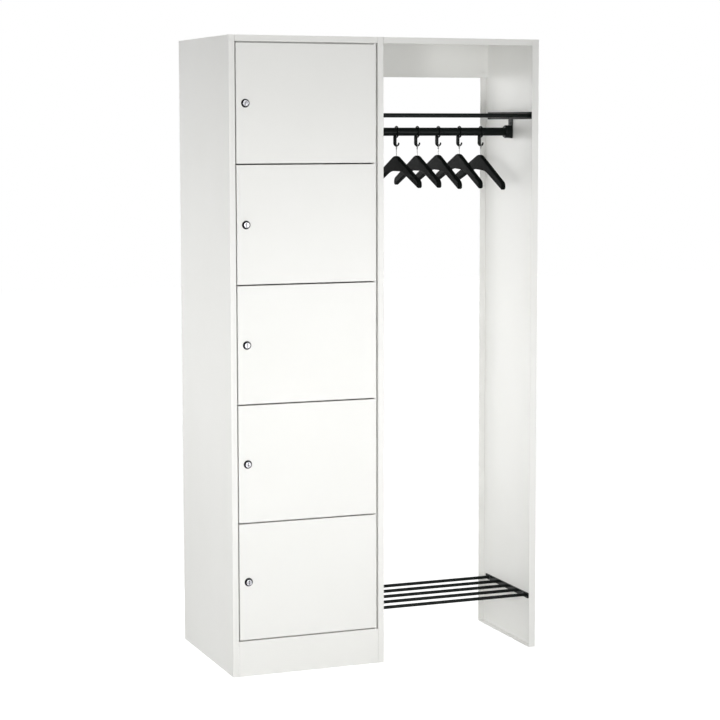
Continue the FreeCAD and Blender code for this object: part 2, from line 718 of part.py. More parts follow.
for side, x0, x1 in (("left", BAY_LEFT, BAR_LEFT_END), ("right", BAR_RIGHT_START, BAY_RIGHT)):
    bracket = new_body(f"rail_bracket_{side}")
    low = f"({RAIL_LEVEL} - bracket_drop)"
    base = pad_box(bracket, x0, "rail_setback - bracket_width / 2", low, x1,
                   "rail_setback + bracket_width / 2", f"{HAT_SHELF_TOP} - hat_bar_height")
    lower = [(f"rail_setback {sign} bracket_width / 2", low) for sign in "+-"]
    round_corners(bracket, base, "x", lower, "fold_round")
    sketch = new_sketch(bracket, "x", f"{x0} - sheet_steel")
    draw_circle(sketch, *BRACKET_SCREW, "screw_radius + screw_play")
    pocket(bracket, sketch, "x", "end_bar_thick + 2 * sheet_steel")

rail_length = f"{BAR_RIGHT_START} - {BAR_LEFT_END} - 2 * socket_floor"
outer = cylinder("rail_radius", f"{BAR_LEFT_END} + socket_floor", rail_length, "x",
                 "rail_setback", RAIL_LEVEL)
inner = cylinder("rail_radius - rail_wall", f"{BAR_LEFT_END} + socket_floor", rail_length, "x",
                 "rail_setback", RAIL_LEVEL)
rail = keep(cut(outer, inner), "coat_rail")
place(rail, *in_cabinet())


def rail_socket(label, seat, direction):
    """Makes a rail socket: rim on the bracket, cone to the nose, bore for the rail."""
    body = doc.addObject("PartDesign::Body", "Body_" + label)
    keep(body, label)
    turn = "0" if direction > 0 else "180"
    place(body, *in_cabinet(seat, "rail_setback", RAIL_LEVEL), (0, 0, 1), turn)
    sketch = new_sketch(body, "y")
    bore = "(rail_radius + socket_play)"
    draw_polygon(sketch, [
        ("0", "0"),
        ("0", "socket_radius"),
        ("socket_rim", "socket_radius"),
        ("socket_length", "socket_nose"),
        ("socket_length", bore),
        ("socket_floor", bore),
        ("socket_floor", "0"),
    ])
    feature = body.newObject("PartDesign::Revolution", "Revolution_" + label)
    feature.Profile = sketch
    feature.ReferenceAxis = (sketch, ["H_Axis"])
    feature.Angle = 360
    sketch.Visibility = False
    doc.recompute()
    return body


rail_socket("rail_socket_left", BAR_LEFT_END, 1)
rail_socket("rail_socket_right", BAR_RIGHT_START, -1)


# Doors

for number in range(1, DOOR_COUNT + 1):
    level = door_level(number)
    body = new_body(f"door_{number}")
    place(body, *in_cabinet(z=level))
    front = new_sketch(body, "y")
    draw_rectangle(front, DOOR_LEFT, "0", DOOR_RIGHT, DOOR_HEIGHT)
    block = pad(body, front, "y", "door_depth")
    block = round_corners(body, block, "z", [(DOOR_RIGHT, "0")], "hinge_round")
    block = round_corners(body, block, "z", [(DOOR_LEFT, "0")], "door_round")
    depth = value("door_depth")
    rear = [f"Face{index}" for index, face in enumerate(block.Shape.Faces, start=1)
            if abs(face.CenterOfMass.y - depth) < TOUCH]
    pan = body.newObject("PartDesign::Thickness", f"Thickness_{number}")
    pan.Base = (block, rear)
    pan.Reversed = True
    bind(pan, "Value", "sheet_steel")
    doc.recompute()
    round_corners(body, pan, "x", [("0", "0"), ("0", DOOR_HEIGHT)], "fold_round")
    lip = new_sketch(body, "y", "door_depth - sheet_steel")
    draw_rectangle(lip, f"{DOOR_LEFT} + sheet_steel / 2", "sheet_steel / 2",
                   f"{DOOR_RIGHT} - sheet_steel / 2", f"{DOOR_HEIGHT} - sheet_steel / 2")
    inner = "sheet_steel + door_lip"
    draw_rectangle(lip, f"{DOOR_LEFT} + {inner}", inner, f"{DOOR_RIGHT} - {inner}",
                   f"{DOOR_HEIGHT} - ({inner})")
    pad(body, lip, "y", "sheet_steel")
    pin_hole = new_sketch(body, "z", "-sheet_steel")
    draw_circle(pin_hole, PIN_X, "hinge_round", "pin_radius + pin_play")
    pocket(body, pin_hole, "z", f"{DOOR_HEIGHT} + 2 * sheet_steel")
    lock_hole = new_sketch(body, "y", "-sheet_steel")
    draw_circle(lock_hole, LOCK_X, f"{DOOR_HEIGHT} / 2", "barrel_radius + barrel_play")
    pocket(body, lock_hole, "y", "3 * sheet_steel")


# Locks, drawn about their own axis: y back from the door's front face

for number in range(1, DOOR_COUNT + 1):
    lock_place = in_cabinet(LOCK_X, "0", f"{door_level(number)} + {DOOR_HEIGHT} / 2")

    rosette = doc.addObject("Part::Cone", "Cone")
    bind(rosette, "Radius1", "rosette_nose")
    bind(rosette, "Radius2", "rosette_radius")
    bind(rosette, "Height", "rosette_thick")
    place(rosette, "0", "-rosette_thick", "0", (1, 0, 0), "-90")
    barrel = cylinder("barrel_radius", "0", BARREL_LENGTH, "y", "0", "0")
    bore_tool = cylinder("core_radius + core_play", "-rosette_thick - 1",
                         f"rosette_thick + {BARREL_LENGTH} + 2", "y", "0", "0")
    nut = doc.addObject("Part::Prism", "Prism")
    nut.Polygon = 6
    bind(nut, "Circumradius", "nut_width / 2 / cos(30)")
    bind(nut, "Height", "nut_thick")
    place(nut, "0", "sheet_steel", "0", (1, 0, 0), "-90")
    nut_tool = cylinder("barrel_radius + pin_seat", "0", BARREL_LENGTH, "y", "0", "0")
    housing = doc.addObject("Part::Compound", "LockHousing")
    housing.Links = [cut(fuse([rosette, barrel]), bore_tool), cut(nut, nut_tool)]
    place(housing, *lock_place)
    keep(housing, f"lock_housing_{number}")

    front = f"-{LOCK_PROUD}"
    cap = cylinder("cap_radius", front, "cap_thick", "y", "0", "0")
    plug = cylinder("core_radius", front, f"{LOCK_PROUD} + {CAM_FRONT}", "y", "0", "0")
    boss = cylinder("cam_boss", "0", f"{CAM_FRONT} + cam_thick", "y", "0", "0")
    slot = box("-key_slot_width / 2", f"{front} - 1", "-key_slot_height / 2",
               "key_slot_width / 2", f"{front} + key_slot_depth", "key_slot_height / 2")
    screw_start = f"{CAM_FRONT} + cam_thick - cam_screw_length"
    screw_bore = cylinder("cam_screw_shank + pin_seat", f"{screw_start} - seat_gap",
                          "cam_screw_length + 1", "y", "0", "0")
    core = cut(cut(fuse([cap, plug, boss]), slot), screw_bore)
    cam_tip = cylinder("cam_width / 2", CAM_FRONT, "cam_thick", "y", "0",
                       "-(cam_length - cam_width / 2)")
    cam_root = cylinder("cam_width / 2", CAM_FRONT, "cam_thick", "y", "0", "0")
    cam_arm = box("-cam_width / 2", CAM_FRONT, "-(cam_length - cam_width / 2)", "cam_width / 2",
                  f"{CAM_FRONT} + cam_thick", "0")
    cam_bore = cylinder("cam_boss + pin_seat", f"{CAM_FRONT} - 1", "cam_thick + 2", "y",
                        "0", "0")
    cam = cut(fuse([cam_tip, cam_arm, cam_root]), cam_bore)
    screw_head = cylinder("cam_screw_head", f"{CAM_FRONT} + cam_thick", "cam_screw_thick", "y",
                          "0", "0")
    screw_shank = cylinder("cam_screw_shank", screw_start, "cam_screw_length", "y", "0", "0")
    lock_core = doc.addObject("Part::Compound", "LockCore")
    lock_core.Links = [core, cam, fuse([screw_head, screw_shank])]
    place(lock_core, *lock_place)
    keep(lock_core, f"lock_core_{number}")


# Ring hooks, hanger wires and hangers, drawn about their own axes

for number in range(1, HANGER_COUNT + 1):
    x = f"hanger_place_{number}"

    ring = torus("ring_radius", "ring_wire", "0", "0", "0", (0, 1, 0))
    bowl_centre = "(-hook_drop + bowl_radius)"
    stem = cylinder("stem_radius", bowl_centre, f"-ring_radius - {bowl_centre}", "z",
                    "-stem_shift", "0")
    bowl = torus("bowl_radius", "bowl_wire", "0", "0", bowl_centre, (1, 0, 0), "180")
    bowl.Placement = FreeCAD.Placement(FreeCAD.Vector(), FreeCAD.Rotation(
        FreeCAD.Vector(1, 0, 0), -90))
    bind(bowl, "Placement.Base.z", bowl_centre)
    tip = doc.addObject("Part::Sphere", "Sphere")
    bind(tip, "Radius", "bowl_wire")
    place(tip, "bowl_radius", "0", bowl_centre)
    heel = doc.addObject("Part::Sphere", "Sphere")
    bind(heel, "Radius", "stem_radius")
    place(heel, "-stem_shift", "0", bowl_centre)
    hook = fuse([ring, stem, bowl, tip, heel])
    place(hook, *in_cabinet(x, "rail_setback", RING_LEVEL))
    keep(hook, f"ring_hook_{number}")

    eye_centre = "(bowl_wire + seat_gap + wire_radius - eye_radius)"
    eye = torus("eye_radius", "wire_radius", "0", "0", eye_centre, (0, 1, 0))
    collar_top = f"({eye_centre} - eye_radius)"
    collar = cylinder("collar_radius", f"{collar_top} - collar_length", "collar_length", "z",
                      "0", "0")
    drop = f"wire_drop_{number}"
    wire_end = f"(-{drop} - bead_depth - seat_gap - bead_thick)"
    straight = cylinder("wire_radius", wire_end,
                        f"{collar_top} - collar_length / 2 - {wire_end}", "z", "0", "0")
    bead = cylinder("bead_radius", wire_end, "bead_thick", "z", "0", "0")
    wire = fuse([eye, collar, straight, bead])
    bar = "; ".join(in_cabinet(x, "rail_setback", BAR_LEVEL))
    hung = f"placement(vector({bar}); rotation(vector(1; 0; 0); wire_tilt_{number}))"
    bind(wire, "Placement", hung)
    keep(wire, f"hanger_wire_{number}")

    hanger = doc.addObject("PartDesign::Body", f"Body_hanger_{number}")
    keep(hanger, f"hanger_{number}")
    turned = f"rotation(vector(0; 0; 1); hanger_turn_{number})"
    bind(hanger, "Placement", f"{hung} * placement(vector(0; 0; -{drop}); {turned})")
    half = "hanger_length / 2"
    shoulder = "(hanger_drop - arm_end)"
    apex = f"(crown_round * (sqrt(1 + ({shoulder} / ({half})) ^ 2) - 1))"
    outline = [
        ("0", apex),
        (half, f"-{shoulder}"),
        (half, "-hanger_drop"),
        ("crown_width / 2", "-crown_depth"),
        ("-crown_width / 2", "-crown_depth"),
        (f"-{half}", "-hanger_drop"),
        (f"-{half}", f"-{shoulder}"),
    ]
    side = new_sketch(hanger, "x", "-hanger_thick / 2")
    draw_polygon(side, outline)
    solid = pad(hanger, side, "x", "hanger_thick")
    solid = round_corners(hanger, solid, "x", [outline[0]], "crown_round")
    solid = round_corners(hanger, solid, "x", outline[3:5], "arch_round")
    solid = round_corners(hanger, solid, "x", [outline[1], outline[6]], "shoulder_round")
    solid = round_corners(hanger, solid, "x", [outline[2], outline[5]], "tip_round")
    rims = [f"Edge{index}" for index, edge in enumerate(solid.Shape.Edges, start=1)
            if edge.BoundBox.XLength < TOUCH]
    fillet(hanger, solid, rims, "hanger_round")
    wire_hole = new_sketch(hanger, "z", "-bead_depth - 1")
    draw_circle(wire_hole, "0", "0", "wire_radius + wire_play")
    pocket(hanger, wire_hole, "z", f"bead_depth + {apex} + 2")
    cavity = new_sketch(hanger, "z", "-crown_depth - 1")
    draw_circle(cavity, "0", "0", "bead_radius + cavity_play")
    pocket(hanger, cavity, "z", "crown_depth + 1 - bead_depth")


# Checks and files

doc.recompute()
faults = []
for item in doc.Objects:
    if "Invalid" in item.State or "Error" in item.State:
        faults.append(f"{item.Label}: {item.State}")
for item in pieces:
    if item.Shape.isNull() or not item.Shape.isValid() or not item.Shape.Solids:
        faults.append(f"{item.Label}: no valid solid")
if faults:
    raise ValueError("\n".join(faults))

os.makedirs("parts", exist_ok=True)
for item in pieces:
    item.Shape.exportStep(f"parts/{item.Label}.step")
    box_of = item.Shape.BoundBox
    print(f"{item.Label}: {len(item.Shape.Solids)} solids, {item.Shape.Volume:.0f} mm3, "
          f"x {box_of.XMin:.1f}..{box_of.XMax:.1f}, y {box_of.YMin:.1f}..{box_of.YMax:.1f}, "
          f"z {box_of.ZMin:.1f}..{box_of.ZMax:.1f}")
print(f"{len(pieces)} nodes")
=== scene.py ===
"""Locker column with an open coat bay, dressed and lit for rendering.

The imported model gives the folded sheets, doors, racks, rail and hangers, which keep their shapes
and get finishes made of shader nodes. The locks, ring hooks, hanger wires, rail sockets, rack
screws, tube welds and door buffers are worked out here with numpy in finer shapes. All lengths
are metres in the model's own frame: x to the right, y to the back, z up from the floor.
"""

import json
import logging
import math
from dataclasses import dataclass
from enum import Enum

import bpy
import numpy as np
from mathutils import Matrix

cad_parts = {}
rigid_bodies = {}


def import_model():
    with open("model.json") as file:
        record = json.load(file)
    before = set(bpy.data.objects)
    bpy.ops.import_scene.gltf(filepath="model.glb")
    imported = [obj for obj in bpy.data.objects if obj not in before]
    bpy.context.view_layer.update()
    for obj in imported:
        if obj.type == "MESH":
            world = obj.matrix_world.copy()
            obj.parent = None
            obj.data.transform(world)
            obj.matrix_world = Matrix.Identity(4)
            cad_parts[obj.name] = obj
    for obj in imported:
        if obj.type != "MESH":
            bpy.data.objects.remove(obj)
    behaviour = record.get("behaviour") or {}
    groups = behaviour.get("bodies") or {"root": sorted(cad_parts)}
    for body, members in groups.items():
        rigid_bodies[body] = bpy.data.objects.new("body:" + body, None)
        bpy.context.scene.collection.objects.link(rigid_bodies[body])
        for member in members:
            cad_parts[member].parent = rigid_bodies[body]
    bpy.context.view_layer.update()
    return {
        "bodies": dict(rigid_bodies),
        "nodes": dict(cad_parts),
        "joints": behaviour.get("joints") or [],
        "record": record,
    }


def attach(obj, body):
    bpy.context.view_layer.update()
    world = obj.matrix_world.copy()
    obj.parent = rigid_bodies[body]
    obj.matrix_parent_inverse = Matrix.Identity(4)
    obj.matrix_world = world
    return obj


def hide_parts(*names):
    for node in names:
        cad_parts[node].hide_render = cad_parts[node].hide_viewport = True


Array = np.ndarray
Colour = tuple[float, float, float]
Point = tuple[float, float, float]

LOG = logging.getLogger("coat_bay")

# Faces of the end bars on the bay's inner sides, and the coat rail's depth
BAY_LEFT = -0.011
BAY_RIGHT = 0.480
RAIL_Y = -0.05645

# Angles in degrees from which an edge stays sharp
CREASE = 40.0
CUT_CREASE = 30.0
HEXAGON_CREASE = 25.0


class Slot(str, Enum):
    """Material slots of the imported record."""

    CARCASS_WHITE = "carcass_white"
    DOOR_WHITE = "door_white"
    RACK_BLACK = "rack_black"
    SCREW_BLACK = "screw_black"
    STEEL_PIN = "steel_pin"
    WIRE_STEEL = "wire_steel"
    BUFFER_RUBBER = "buffer_rubber"
    LOCK_BLACK = "lock_black"
    LOCK_CHROME = "lock_chrome"
    HOOK_BLACK = "hook_black"
    HANGER_BLACK = "hanger_black"


class Axis(Enum):
    """Directions that a turned piece can point in, each as its own unit frame.

    The columns are the two cross directions and the axis itself.
    """

    RIGHT = ((0, 1, 0), (0, 0, 1), (1, 0, 0))
    LEFT = ((0, -1, 0), (0, 0, 1), (-1, 0, 0))
    BACK = ((0, 0, 1), (1, 0, 0), (0, 1, 0))
    UP = ((1, 0, 0), (0, 1, 0), (0, 0, 1))

    def frame(self) -> Array:
        """Gives the three directions as the rows of a matrix."""
        return np.array(self.value, float)


# Shapes on grids


def angles(count: int) -> Array:
    """Gives evenly spaced angles round a full turn, the last one short of the first.

    Args:
        count: How many angles.

    Returns:
        Angles in radians.
    """
    return np.linspace(0.0, 2.0 * math.pi, count, endpoint=False)


def circle_path(radius: float, count: int) -> Array:
    """Gives points of a circle about the origin in the plane across the x axis.

    Args:
        radius: Radius of the circle.
        count: How many points.

    Returns:
        Points as rows of three.
    """
    t = angles(count)
    return np.stack([np.zeros_like(t), np.cos(t), np.sin(t)], axis=1) * radius


def hexagon(width: float, count: int) -> Array:
    """Gives the radius of a hexagon's outline at evenly spaced angles.

    The radius at angle t is (W / 2) / cos(t mod 60 - 30), the angles in degrees.

    Args:
        width: Width across the flats.
        count: How many angles.

    Returns:
        Radius at each angle.
    """
    return width / 2 / np.cos(np.mod(angles(count), math.pi / 3) - math.pi / 6)


def rings_round(heights: Array, radii: Array, axis: Axis) -> Array:
    """Lays rings of points round an axis through the origin.

    Point (i, j) lies at h_i w + r_ij (cos t_j u + sin t_j v), t_j evenly round the turn.

    Args:
        heights: Distance of each ring along the axis.
        radii: Radius for each ring and angle.
        axis: Direction of the axis.

    Returns:
        Points as rings by angles by three.
    """
    u, v, w = axis.frame()
    t = angles(radii.shape[1])
    circle = np.cos(t)[:, None] * u + np.sin(t)[:, None] * v
    return heights[:, None, None] * w + radii[..., None] * circle[None]


def turn_x(degrees: float) -> Array:
    """Gives the matrix of a turn about the x axis.

    Args:
        degrees: Angle of the turn.

    Returns:
        Three by three matrix.
    """
    c, s = math.cos(math.radians(degrees)), math.sin(math.radians(degrees))
    return np.array([[1, 0, 0], [0, c, -s], [0, s, c]])


def soften(points: Array, radius: float, steps: int = 4) -> Array:
    """Rounds the inner corners of an open outline.

    A corner P gives way to the curve (1-s)^2 A + 2 s (1-s) P + s^2 B, where A and B lie one
    radius before and after it, or two fifths of the way to the next corner if that is nearer.

    Args:
        points: Corners, one row each.
        radius: Length that each corner gives up on both sides.
        steps: Points on each rounded corner, less one.

    Returns:
        Points of the rounded outline, the two ends kept.
    """
    corner = points[1:-1]
    before, after = points[:-2] - corner, points[2:] - corner
    length_before = np.linalg.norm(before, axis=1, keepdims=True)
    length_after = np.linalg.norm(after, axis=1, keepdims=True)
    start = corner + before / length_before * np.minimum(radius, 0.4 * length_before)
    end = corner + after / length_after * np.minimum(radius, 0.4 * length_after)
    s = np.linspace(0.0, 1.0, steps + 1)[None, :, None]
    curve = (1 - s) ** 2 * start[:, None] + 2 * s * (1 - s) * corner[:, None] + s**2 * end[:, None]
    return np.vstack([points[:1], curve.reshape(-1, points.shape[1]), points[-1:]])


@dataclass(frozen=True)
class Shell:
    """Closed surface: its points and its faces with four and with three corners."""

    points: Array
    quads: Array
    triangles: Array

    @staticmethod
    def loft(rings: Array, round_again: bool = False) -> "Shell":
        """Joins closed rings of points into a surface.

        Ring i joins ring i + 1 by a band of four-cornered faces. The ends are closed by fans
        to the middle of the first and the last ring, or the last ring joins the first.

        Args:
            rings: Points as rings by points by three.
            round_again: Whether the last ring joins the first.

        Returns:
            The surface, faces outwards.
        """
        count, around = rings.shape[:2]
        rows = np.arange(count if round_again else count - 1)[:, None]
        columns = np.arange(around)[None, :]
        low, high = rows * around, ((rows + 1) % count) * around
        ahead = (columns + 1) % around
        quads = np.stack([low + columns, low + ahead, high + ahead, high + columns], axis=-1)
        points = rings.reshape(-1, 3)
        triangles = np.empty((0, 3), int)
        if not round_again:
            first, last = count * around, count * around + 1
            step, onward = np.arange(around), (np.arange(around) + 1) % around
            top = (count - 1) * around
            triangles = np.vstack([
                np.stack([np.full(around, first), onward, step], axis=-1),
                np.stack([np.full(around, last), top + step, top + onward], axis=-1),
            ])
            points = np.vstack([points, rings[0].mean(axis=0), rings[-1].mean(axis=0)])
        return Shell(points, quads.reshape(-1, 4), triangles).outward()

    @staticmethod
    def joined(shells: list["Shell"]) -> "Shell":
        """Lists several surfaces as one, each still closed by itself.

        Args:
            shells: The surfaces.

        Returns:
            One surface with all their faces.
        """
        counts = [len(shell.points) for shell in shells]
        starts = np.concatenate([[0], np.cumsum(counts)[:-1]])
        return Shell(
            np.vstack([shell.points for shell in shells]),
            np.vstack([shell.quads + start for shell, start in zip(shells, starts)]),
            np.vstack([shell.triangles + start for shell, start in zip(shells, starts)]),
        )

    def volume(self) -> float:
        """Sums the signed tetrahedra from the origin to every face.

        Returns:
            The enclosed volume, negative where the faces look inwards.
        """
        a, b, c, d = (self.points[self.quads[:, corner]] for corner in range(4))
        total = np.einsum("ij,ij->", a, np.cross(b, c)) + np.einsum("ij,ij->", a, np.cross(c, d))
        if len(self.triangles):
            a, b, c = (self.points[self.triangles[:, corner]] for corner in range(3))
            total += np.einsum("ij,ij->", a, np.cross(b, c))
        return float(total) / 6.0

    def outward(self) -> "Shell":
        """Turns the faces round where they enclose a negative volume.

        Returns:
            The surface with its faces outwards.
        """
        if self.volume() >= 0.0:
            return self
        return Shell(self.points, self.quads[:, ::-1], self.triangles[:, ::-1])

    def moved(self, shift: Point) -> "Shell":
        """Shifts the surface."""
        return Shell(self.points + np.array(shift), self.quads, self.triangles)

    def turned(self, matrix: Array) -> "Shell":
        """Turns the surface about the origin."""
        return Shell(self.points @ matrix.T, self.quads, self.triangles)

    def repeated(self, shifts: Array) -> "Shell":
        """Copies the surface to several places.

        Copy k has every point plus shift k, and its faces count on from copy k - 1.

        Args:
            shifts: Places as rows of three.

        Returns:
            One surface with all the copies.
        """
        size = len(self.points)
        start = (np.arange(len(shifts)) * size)[:, None, None]
        return Shell(
            (self.points[None] + shifts[:, None]).reshape(-1, 3),
            (self.quads[None] + start).reshape(-1, 4),
            (self.triangles[None] + start).reshape(-1, 3),
        )

    def to_object(self, name: str, material: bpy.types.Material,
                  crease: float) -> bpy.types.Object:
        """Makes a Blender object of the surface, with its place in its mesh.

        Args:
            name: Name of the piece.
            material: Finish of the piece.
            crease: Angle in degrees from which an edge stays sharp.

        Returns:
            The new object.
        """
        mesh = bpy.data.meshes.new(name)
        mesh.from_pydata(self.points.tolist(), [], self.quads.tolist() + self.triangles.tolist())
        mesh.shade_smooth()
        mesh.set_sharp_from_angle(angle=math.radians(crease))
        mesh.materials.append(material)
        piece = bpy.data.objects.new(name, mesh)
        bpy.context.scene.collection.objects.link(piece)
        return piece


def revolve(profile: Array, axis: Axis, around: int, swell: Array | None = None) -> Shell:
    """Turns a profile about an axis through the origin.

    A profile row is (distance along the axis, radius), and the radius of point (i, j) is
    r_i g_ij, with g the swell, 1 where none is given.

    Args:
        profile: Rows of axial distance and radius.
        axis: Direction of the axis.
        around: Points round the axis.
        swell: Factor of the radius for each row and angle.

    Returns:
        The closed surface.
    """
    radii = profile[:, 1, None] * (1.0 if swell is None else swell)
    radii = np.broadcast_to(radii, (len(profile), around))
    return Shell.loft(rings_round(profile[:, 0], radii, axis))


def sweep(path: Array, radii: Array, normal: Point, around: int,
          closed: bool = False) -> Shell:
    """Carries a round section along a path that lies in one plane.

    With T the path's direction and N the plane's normal, point (i, j) lies at
    P_i + r_i (cos t_j (T x N) + sin t_j N).

    Args:
        path: Points of the path.
        radii: Radius of the section at each point.
        normal: Normal of the path's plane.
        around: Points round the section.
        closed: Whether the path ends where it starts.

    Returns:
        The closed surface.
    """
    n = np.array(normal, float)
    if closed:
        direction = np.roll(path, -1, axis=0) - np.roll(path, 1, axis=0)
    else:
        direction = np.gradient(path, axis=0)
    direction /= np.linalg.norm(direction, axis=1, keepdims=True)
    side = np.cross(direction, n)
    t = angles(around)
    ring = np.cos(t)[None, :, None] * side[:, None] + np.sin(t)[None, :, None] * n
    return Shell.loft(path[:, None] + radii[:, None, None] * ring, closed)


def domed(path: Array, radii: Array, steps: int = 6,
          reach: float = 85.0) -> tuple[Array, Array]:
    """Adds a round cap to both ends of a tube's path.

    Cap point k lies r sin a_k beyond the end with the radius r cos a_k, a from 0 to the reach.

    Args:
        path: Points of the path.
        radii: Radius at each point.
        steps: Points on each cap.
        reach: Last angle in degrees, short of the point where the radius is nothing.

    Returns:
        The longer path and its radii.
    """
    a = np.linspace(0.0, math.radians(reach), steps + 1)[1:, None]
    ahead = (path[-1] - path[-2]) / np.linalg.norm(path[-1] - path[-2])
    behind = (path[0] - path[1]) / np.linalg.norm(path[0] - path[1])
    start = (path[0] + radii[0] * np.sin(a) * behind)[::-1]
    end = path[-1] + radii[-1] * np.sin(a) * ahead
    start_radii, end_radii = radii[0] * np.cos(a[::-1, 0]), radii[-1] * np.cos(a[:, 0])
    return np.vstack([start, path, end]), np.concatenate([start_radii, radii, end_radii])


# Finishes


# Part of a noise pattern that carries nearly all of its points
PATTERN_RANGE = (0.3, 0.7)


class Shader:
    """Principled material under construction, with patterns on Object coordinates."""

    def __init__(self, name: str) -> None:
        """Starts an empty material.

        Args:
            name: Name of the material.
        """
        self.material = bpy.data.materials.new(name)
        self.material.use_nodes = True
        self.tree = self.material.node_tree
        self.tree.nodes.clear()
        self.output = self.tree.nodes.new("ShaderNodeOutputMaterial")
        self.surface = self.tree.nodes.new("ShaderNodeBsdfPrincipled")
        self.tree.links.new(self.surface.outputs["BSDF"], self.output.inputs["Surface"])
        self.place = self.tree.nodes.new("ShaderNodeTexCoord").outputs["Object"]

    def set(self, **values: float | Colour) -> None:
        """Sets constant sockets of the surface, underscores standing for spaces.

        Args:
            values: Socket names and their values.
        """
        for name, value in values.items():
            socket = self.surface.inputs[name.replace("_", " ")]
            socket.default_value = (*value, 1.0) if isinstance(value, tuple) else value

    def stretched(self, scale: Point) -> bpy.types.NodeSocket:
        """Gives Object coordinates scaled apart along the three axes.

        Args:
            scale: Factor for each axis.

        Returns:
            The scaled coordinates.
        """
        mapping = self.tree.nodes.new("ShaderNodeMapping")
        mapping.inputs["Scale"].default_value = scale
        self.tree.links.new(self.place, mapping.inputs["Vector"])
        return mapping.outputs["Vector"]

    def noise(self, scale: float, detail: float = 2.0,
              place: bpy.types.NodeSocket | None = None) -> bpy.types.NodeSocket:
        """Adds a noise pattern.

        Args:
            scale: Ripples to the metre.
            detail: Layers of finer ripples.
            place: Coordinates, Object coordinates where none are given.

        Returns:
            The pattern's factor.
        """
        node = self.tree.nodes.new("ShaderNodeTexNoise")
        node.inputs["Scale"].default_value = scale
        node.inputs["Detail"].default_value = detail
        self.tree.links.new(place or self.place, node.inputs["Vector"])
        return node.outputs["Fac"]

    def speckle(self, scale: float) -> bpy.types.NodeSocket:
        """Adds the cells of a grain.

        Args:
            scale: Cells to the metre.

        Returns:
            The distance from each cell's middle.
        """
        node = self.tree.nodes.new("ShaderNodeTexVoronoi")
        node.inputs["Scale"].default_value = scale
        self.tree.links.new(self.place, node.inputs["Vector"])
        return node.outputs["Distance"]

    def spread(self, factor: bpy.types.NodeSocket, low: float,
               high: float) -> bpy.types.NodeSocket:
        """Maps the middle range of a pattern to a range of values.

        Args:
            factor: Pattern between 0 and 1.
            low: Value at the middle range's low end.
            high: Value at its high end.

        Returns:
            The mapped value.
        """
        node = self.tree.nodes.new("ShaderNodeMapRange")
        node.inputs["From Min"].default_value, node.inputs["From Max"].default_value = PATTERN_RANGE
        node.inputs["To Min"].default_value = low
        node.inputs["To Max"].default_value = high
        self.tree.links.new(factor, node.inputs["Value"])
        return node.outputs["Result"]

    def tone(self, factor: bpy.types.NodeSocket, dark: Colour, light: Colour) -> None:
        """Lets a pattern carry the surface's colour between two tones.

        Args:
            factor: Pattern between 0 and 1.
            dark: Tone at the pattern's low end.
            light: Tone at its high end.
        """
        node = self.tree.nodes.new("ShaderNodeMix")
        node.data_type = "RGBA"
        sockets = [socket for socket in node.inputs if socket.type == "RGBA"]
        sockets[0].default_value = (*dark, 1.0)
        sockets[1].default_value = (*light, 1.0)
        self.tree.links.new(self.spread(factor, 0.0, 1.0), node.inputs["Factor"])
        colours = [socket for socket in node.outputs if socket.type == "RGBA"]
        self.tree.links.new(colours[0], self.surface.inputs["Base Color"])

    def rough(self, factor: bpy.types.NodeSocket, low: float, high: float) -> None:
        """Lets a pattern carry the surface's roughness between two values.

        Args:
            factor: Pattern between 0 and 1.
            low: Roughness at the pattern's low end.
            high: Roughness at its high end.
        """
        self.tree.links.new(self.spread(factor, low, high), self.surface.inputs["Roughness"])

    def relief(self, heights: list[tuple[bpy.types.NodeSocket, float]]) -> None:
        """Raises the surface by several patterns, one bump on the other.

        Args:
            heights: Each pattern and its height in metres.
        """
        before = None
        for factor, height in heights:
            node = self.tree.nodes.new("ShaderNodeBump")
            node.inputs["Distance"].default_value = height
            self.tree.links.new(factor, node.inputs["Height"])
            if before is not None:
                self.tree.links.new(before, node.inputs["Normal"])
            before = node.outputs["Normal"]
        self.tree.links.new(before, self.surface.inputs["Normal"])


@dataclass(frozen=True)
class Finish:
    """What every finish has: two tones that drift into each other and a range of roughness."""

    light: Colour
    dark: Colour
    gloss: tuple[float, float]

    def coat(self, shader: Shader) -> None:
        """Sets up the surface of a material under construction.

        Args:
            shader: The material.
        """
        raise NotImplementedError

    def make(self, name: str) -> bpy.types.Material:
        """Builds the material.

        Args:
            name: Name of the material.

        Returns:
            The material.
        """
        shader = Shader(name)
        self.coat(shader)
        return shader.material


@dataclass(frozen=True)
class PowderCoat(Finish):
    """Baked powder coat: a fine orange peel with tiny grains, and a slow drift of the tone."""

    level: float = 0.5
    peel: float = 0.00003
    grain: float = 0.000006
    drift_scale: float = 5.0
    gloss_scale: float = 60.0
    peel_scale: float = 420.0
    grain_scale: float = 1500.0

    def coat(self, shader: Shader) -> None:
        """Sets up the powder coat.

        Args:
            shader: The material.
        """
        shader.set(Specular_IOR_Level=self.level)
        shader.tone(shader.noise(self.drift_scale, 3.0), self.dark, self.light)
        shader.rough(shader.noise(self.gloss_scale, 4.0), *self.gloss)
        shader.relief([(shader.noise(self.peel_scale), self.peel),
                       (shader.speckle(self.grain_scale), self.grain)])


@dataclass(frozen=True)
class MouldedPlastic(Finish):
    """Moulded plastic: a spark-eroded grain or a gloss, with faint flow marks."""

    level: float
    grain_scale: float
    grain: float
    drift_scale: float = 35.0
    gloss_scale: float = 180.0
    flow_scale: float = 90.0

    def coat(self, shader: Shader) -> None:
        """Sets up the plastic.

        Args:
            shader: The material.
        """
        shader.set(Specular_IOR_Level=self.level)
        shader.tone(shader.noise(self.drift_scale, 3.0), self.dark, self.light)
        shader.rough(shader.noise(self.gloss_scale, 3.0), *self.gloss)
        shader.relief([(shader.speckle(self.grain_scale), self.grain),
                       (shader.noise(self.flow_scale, 1.0), self.grain)])


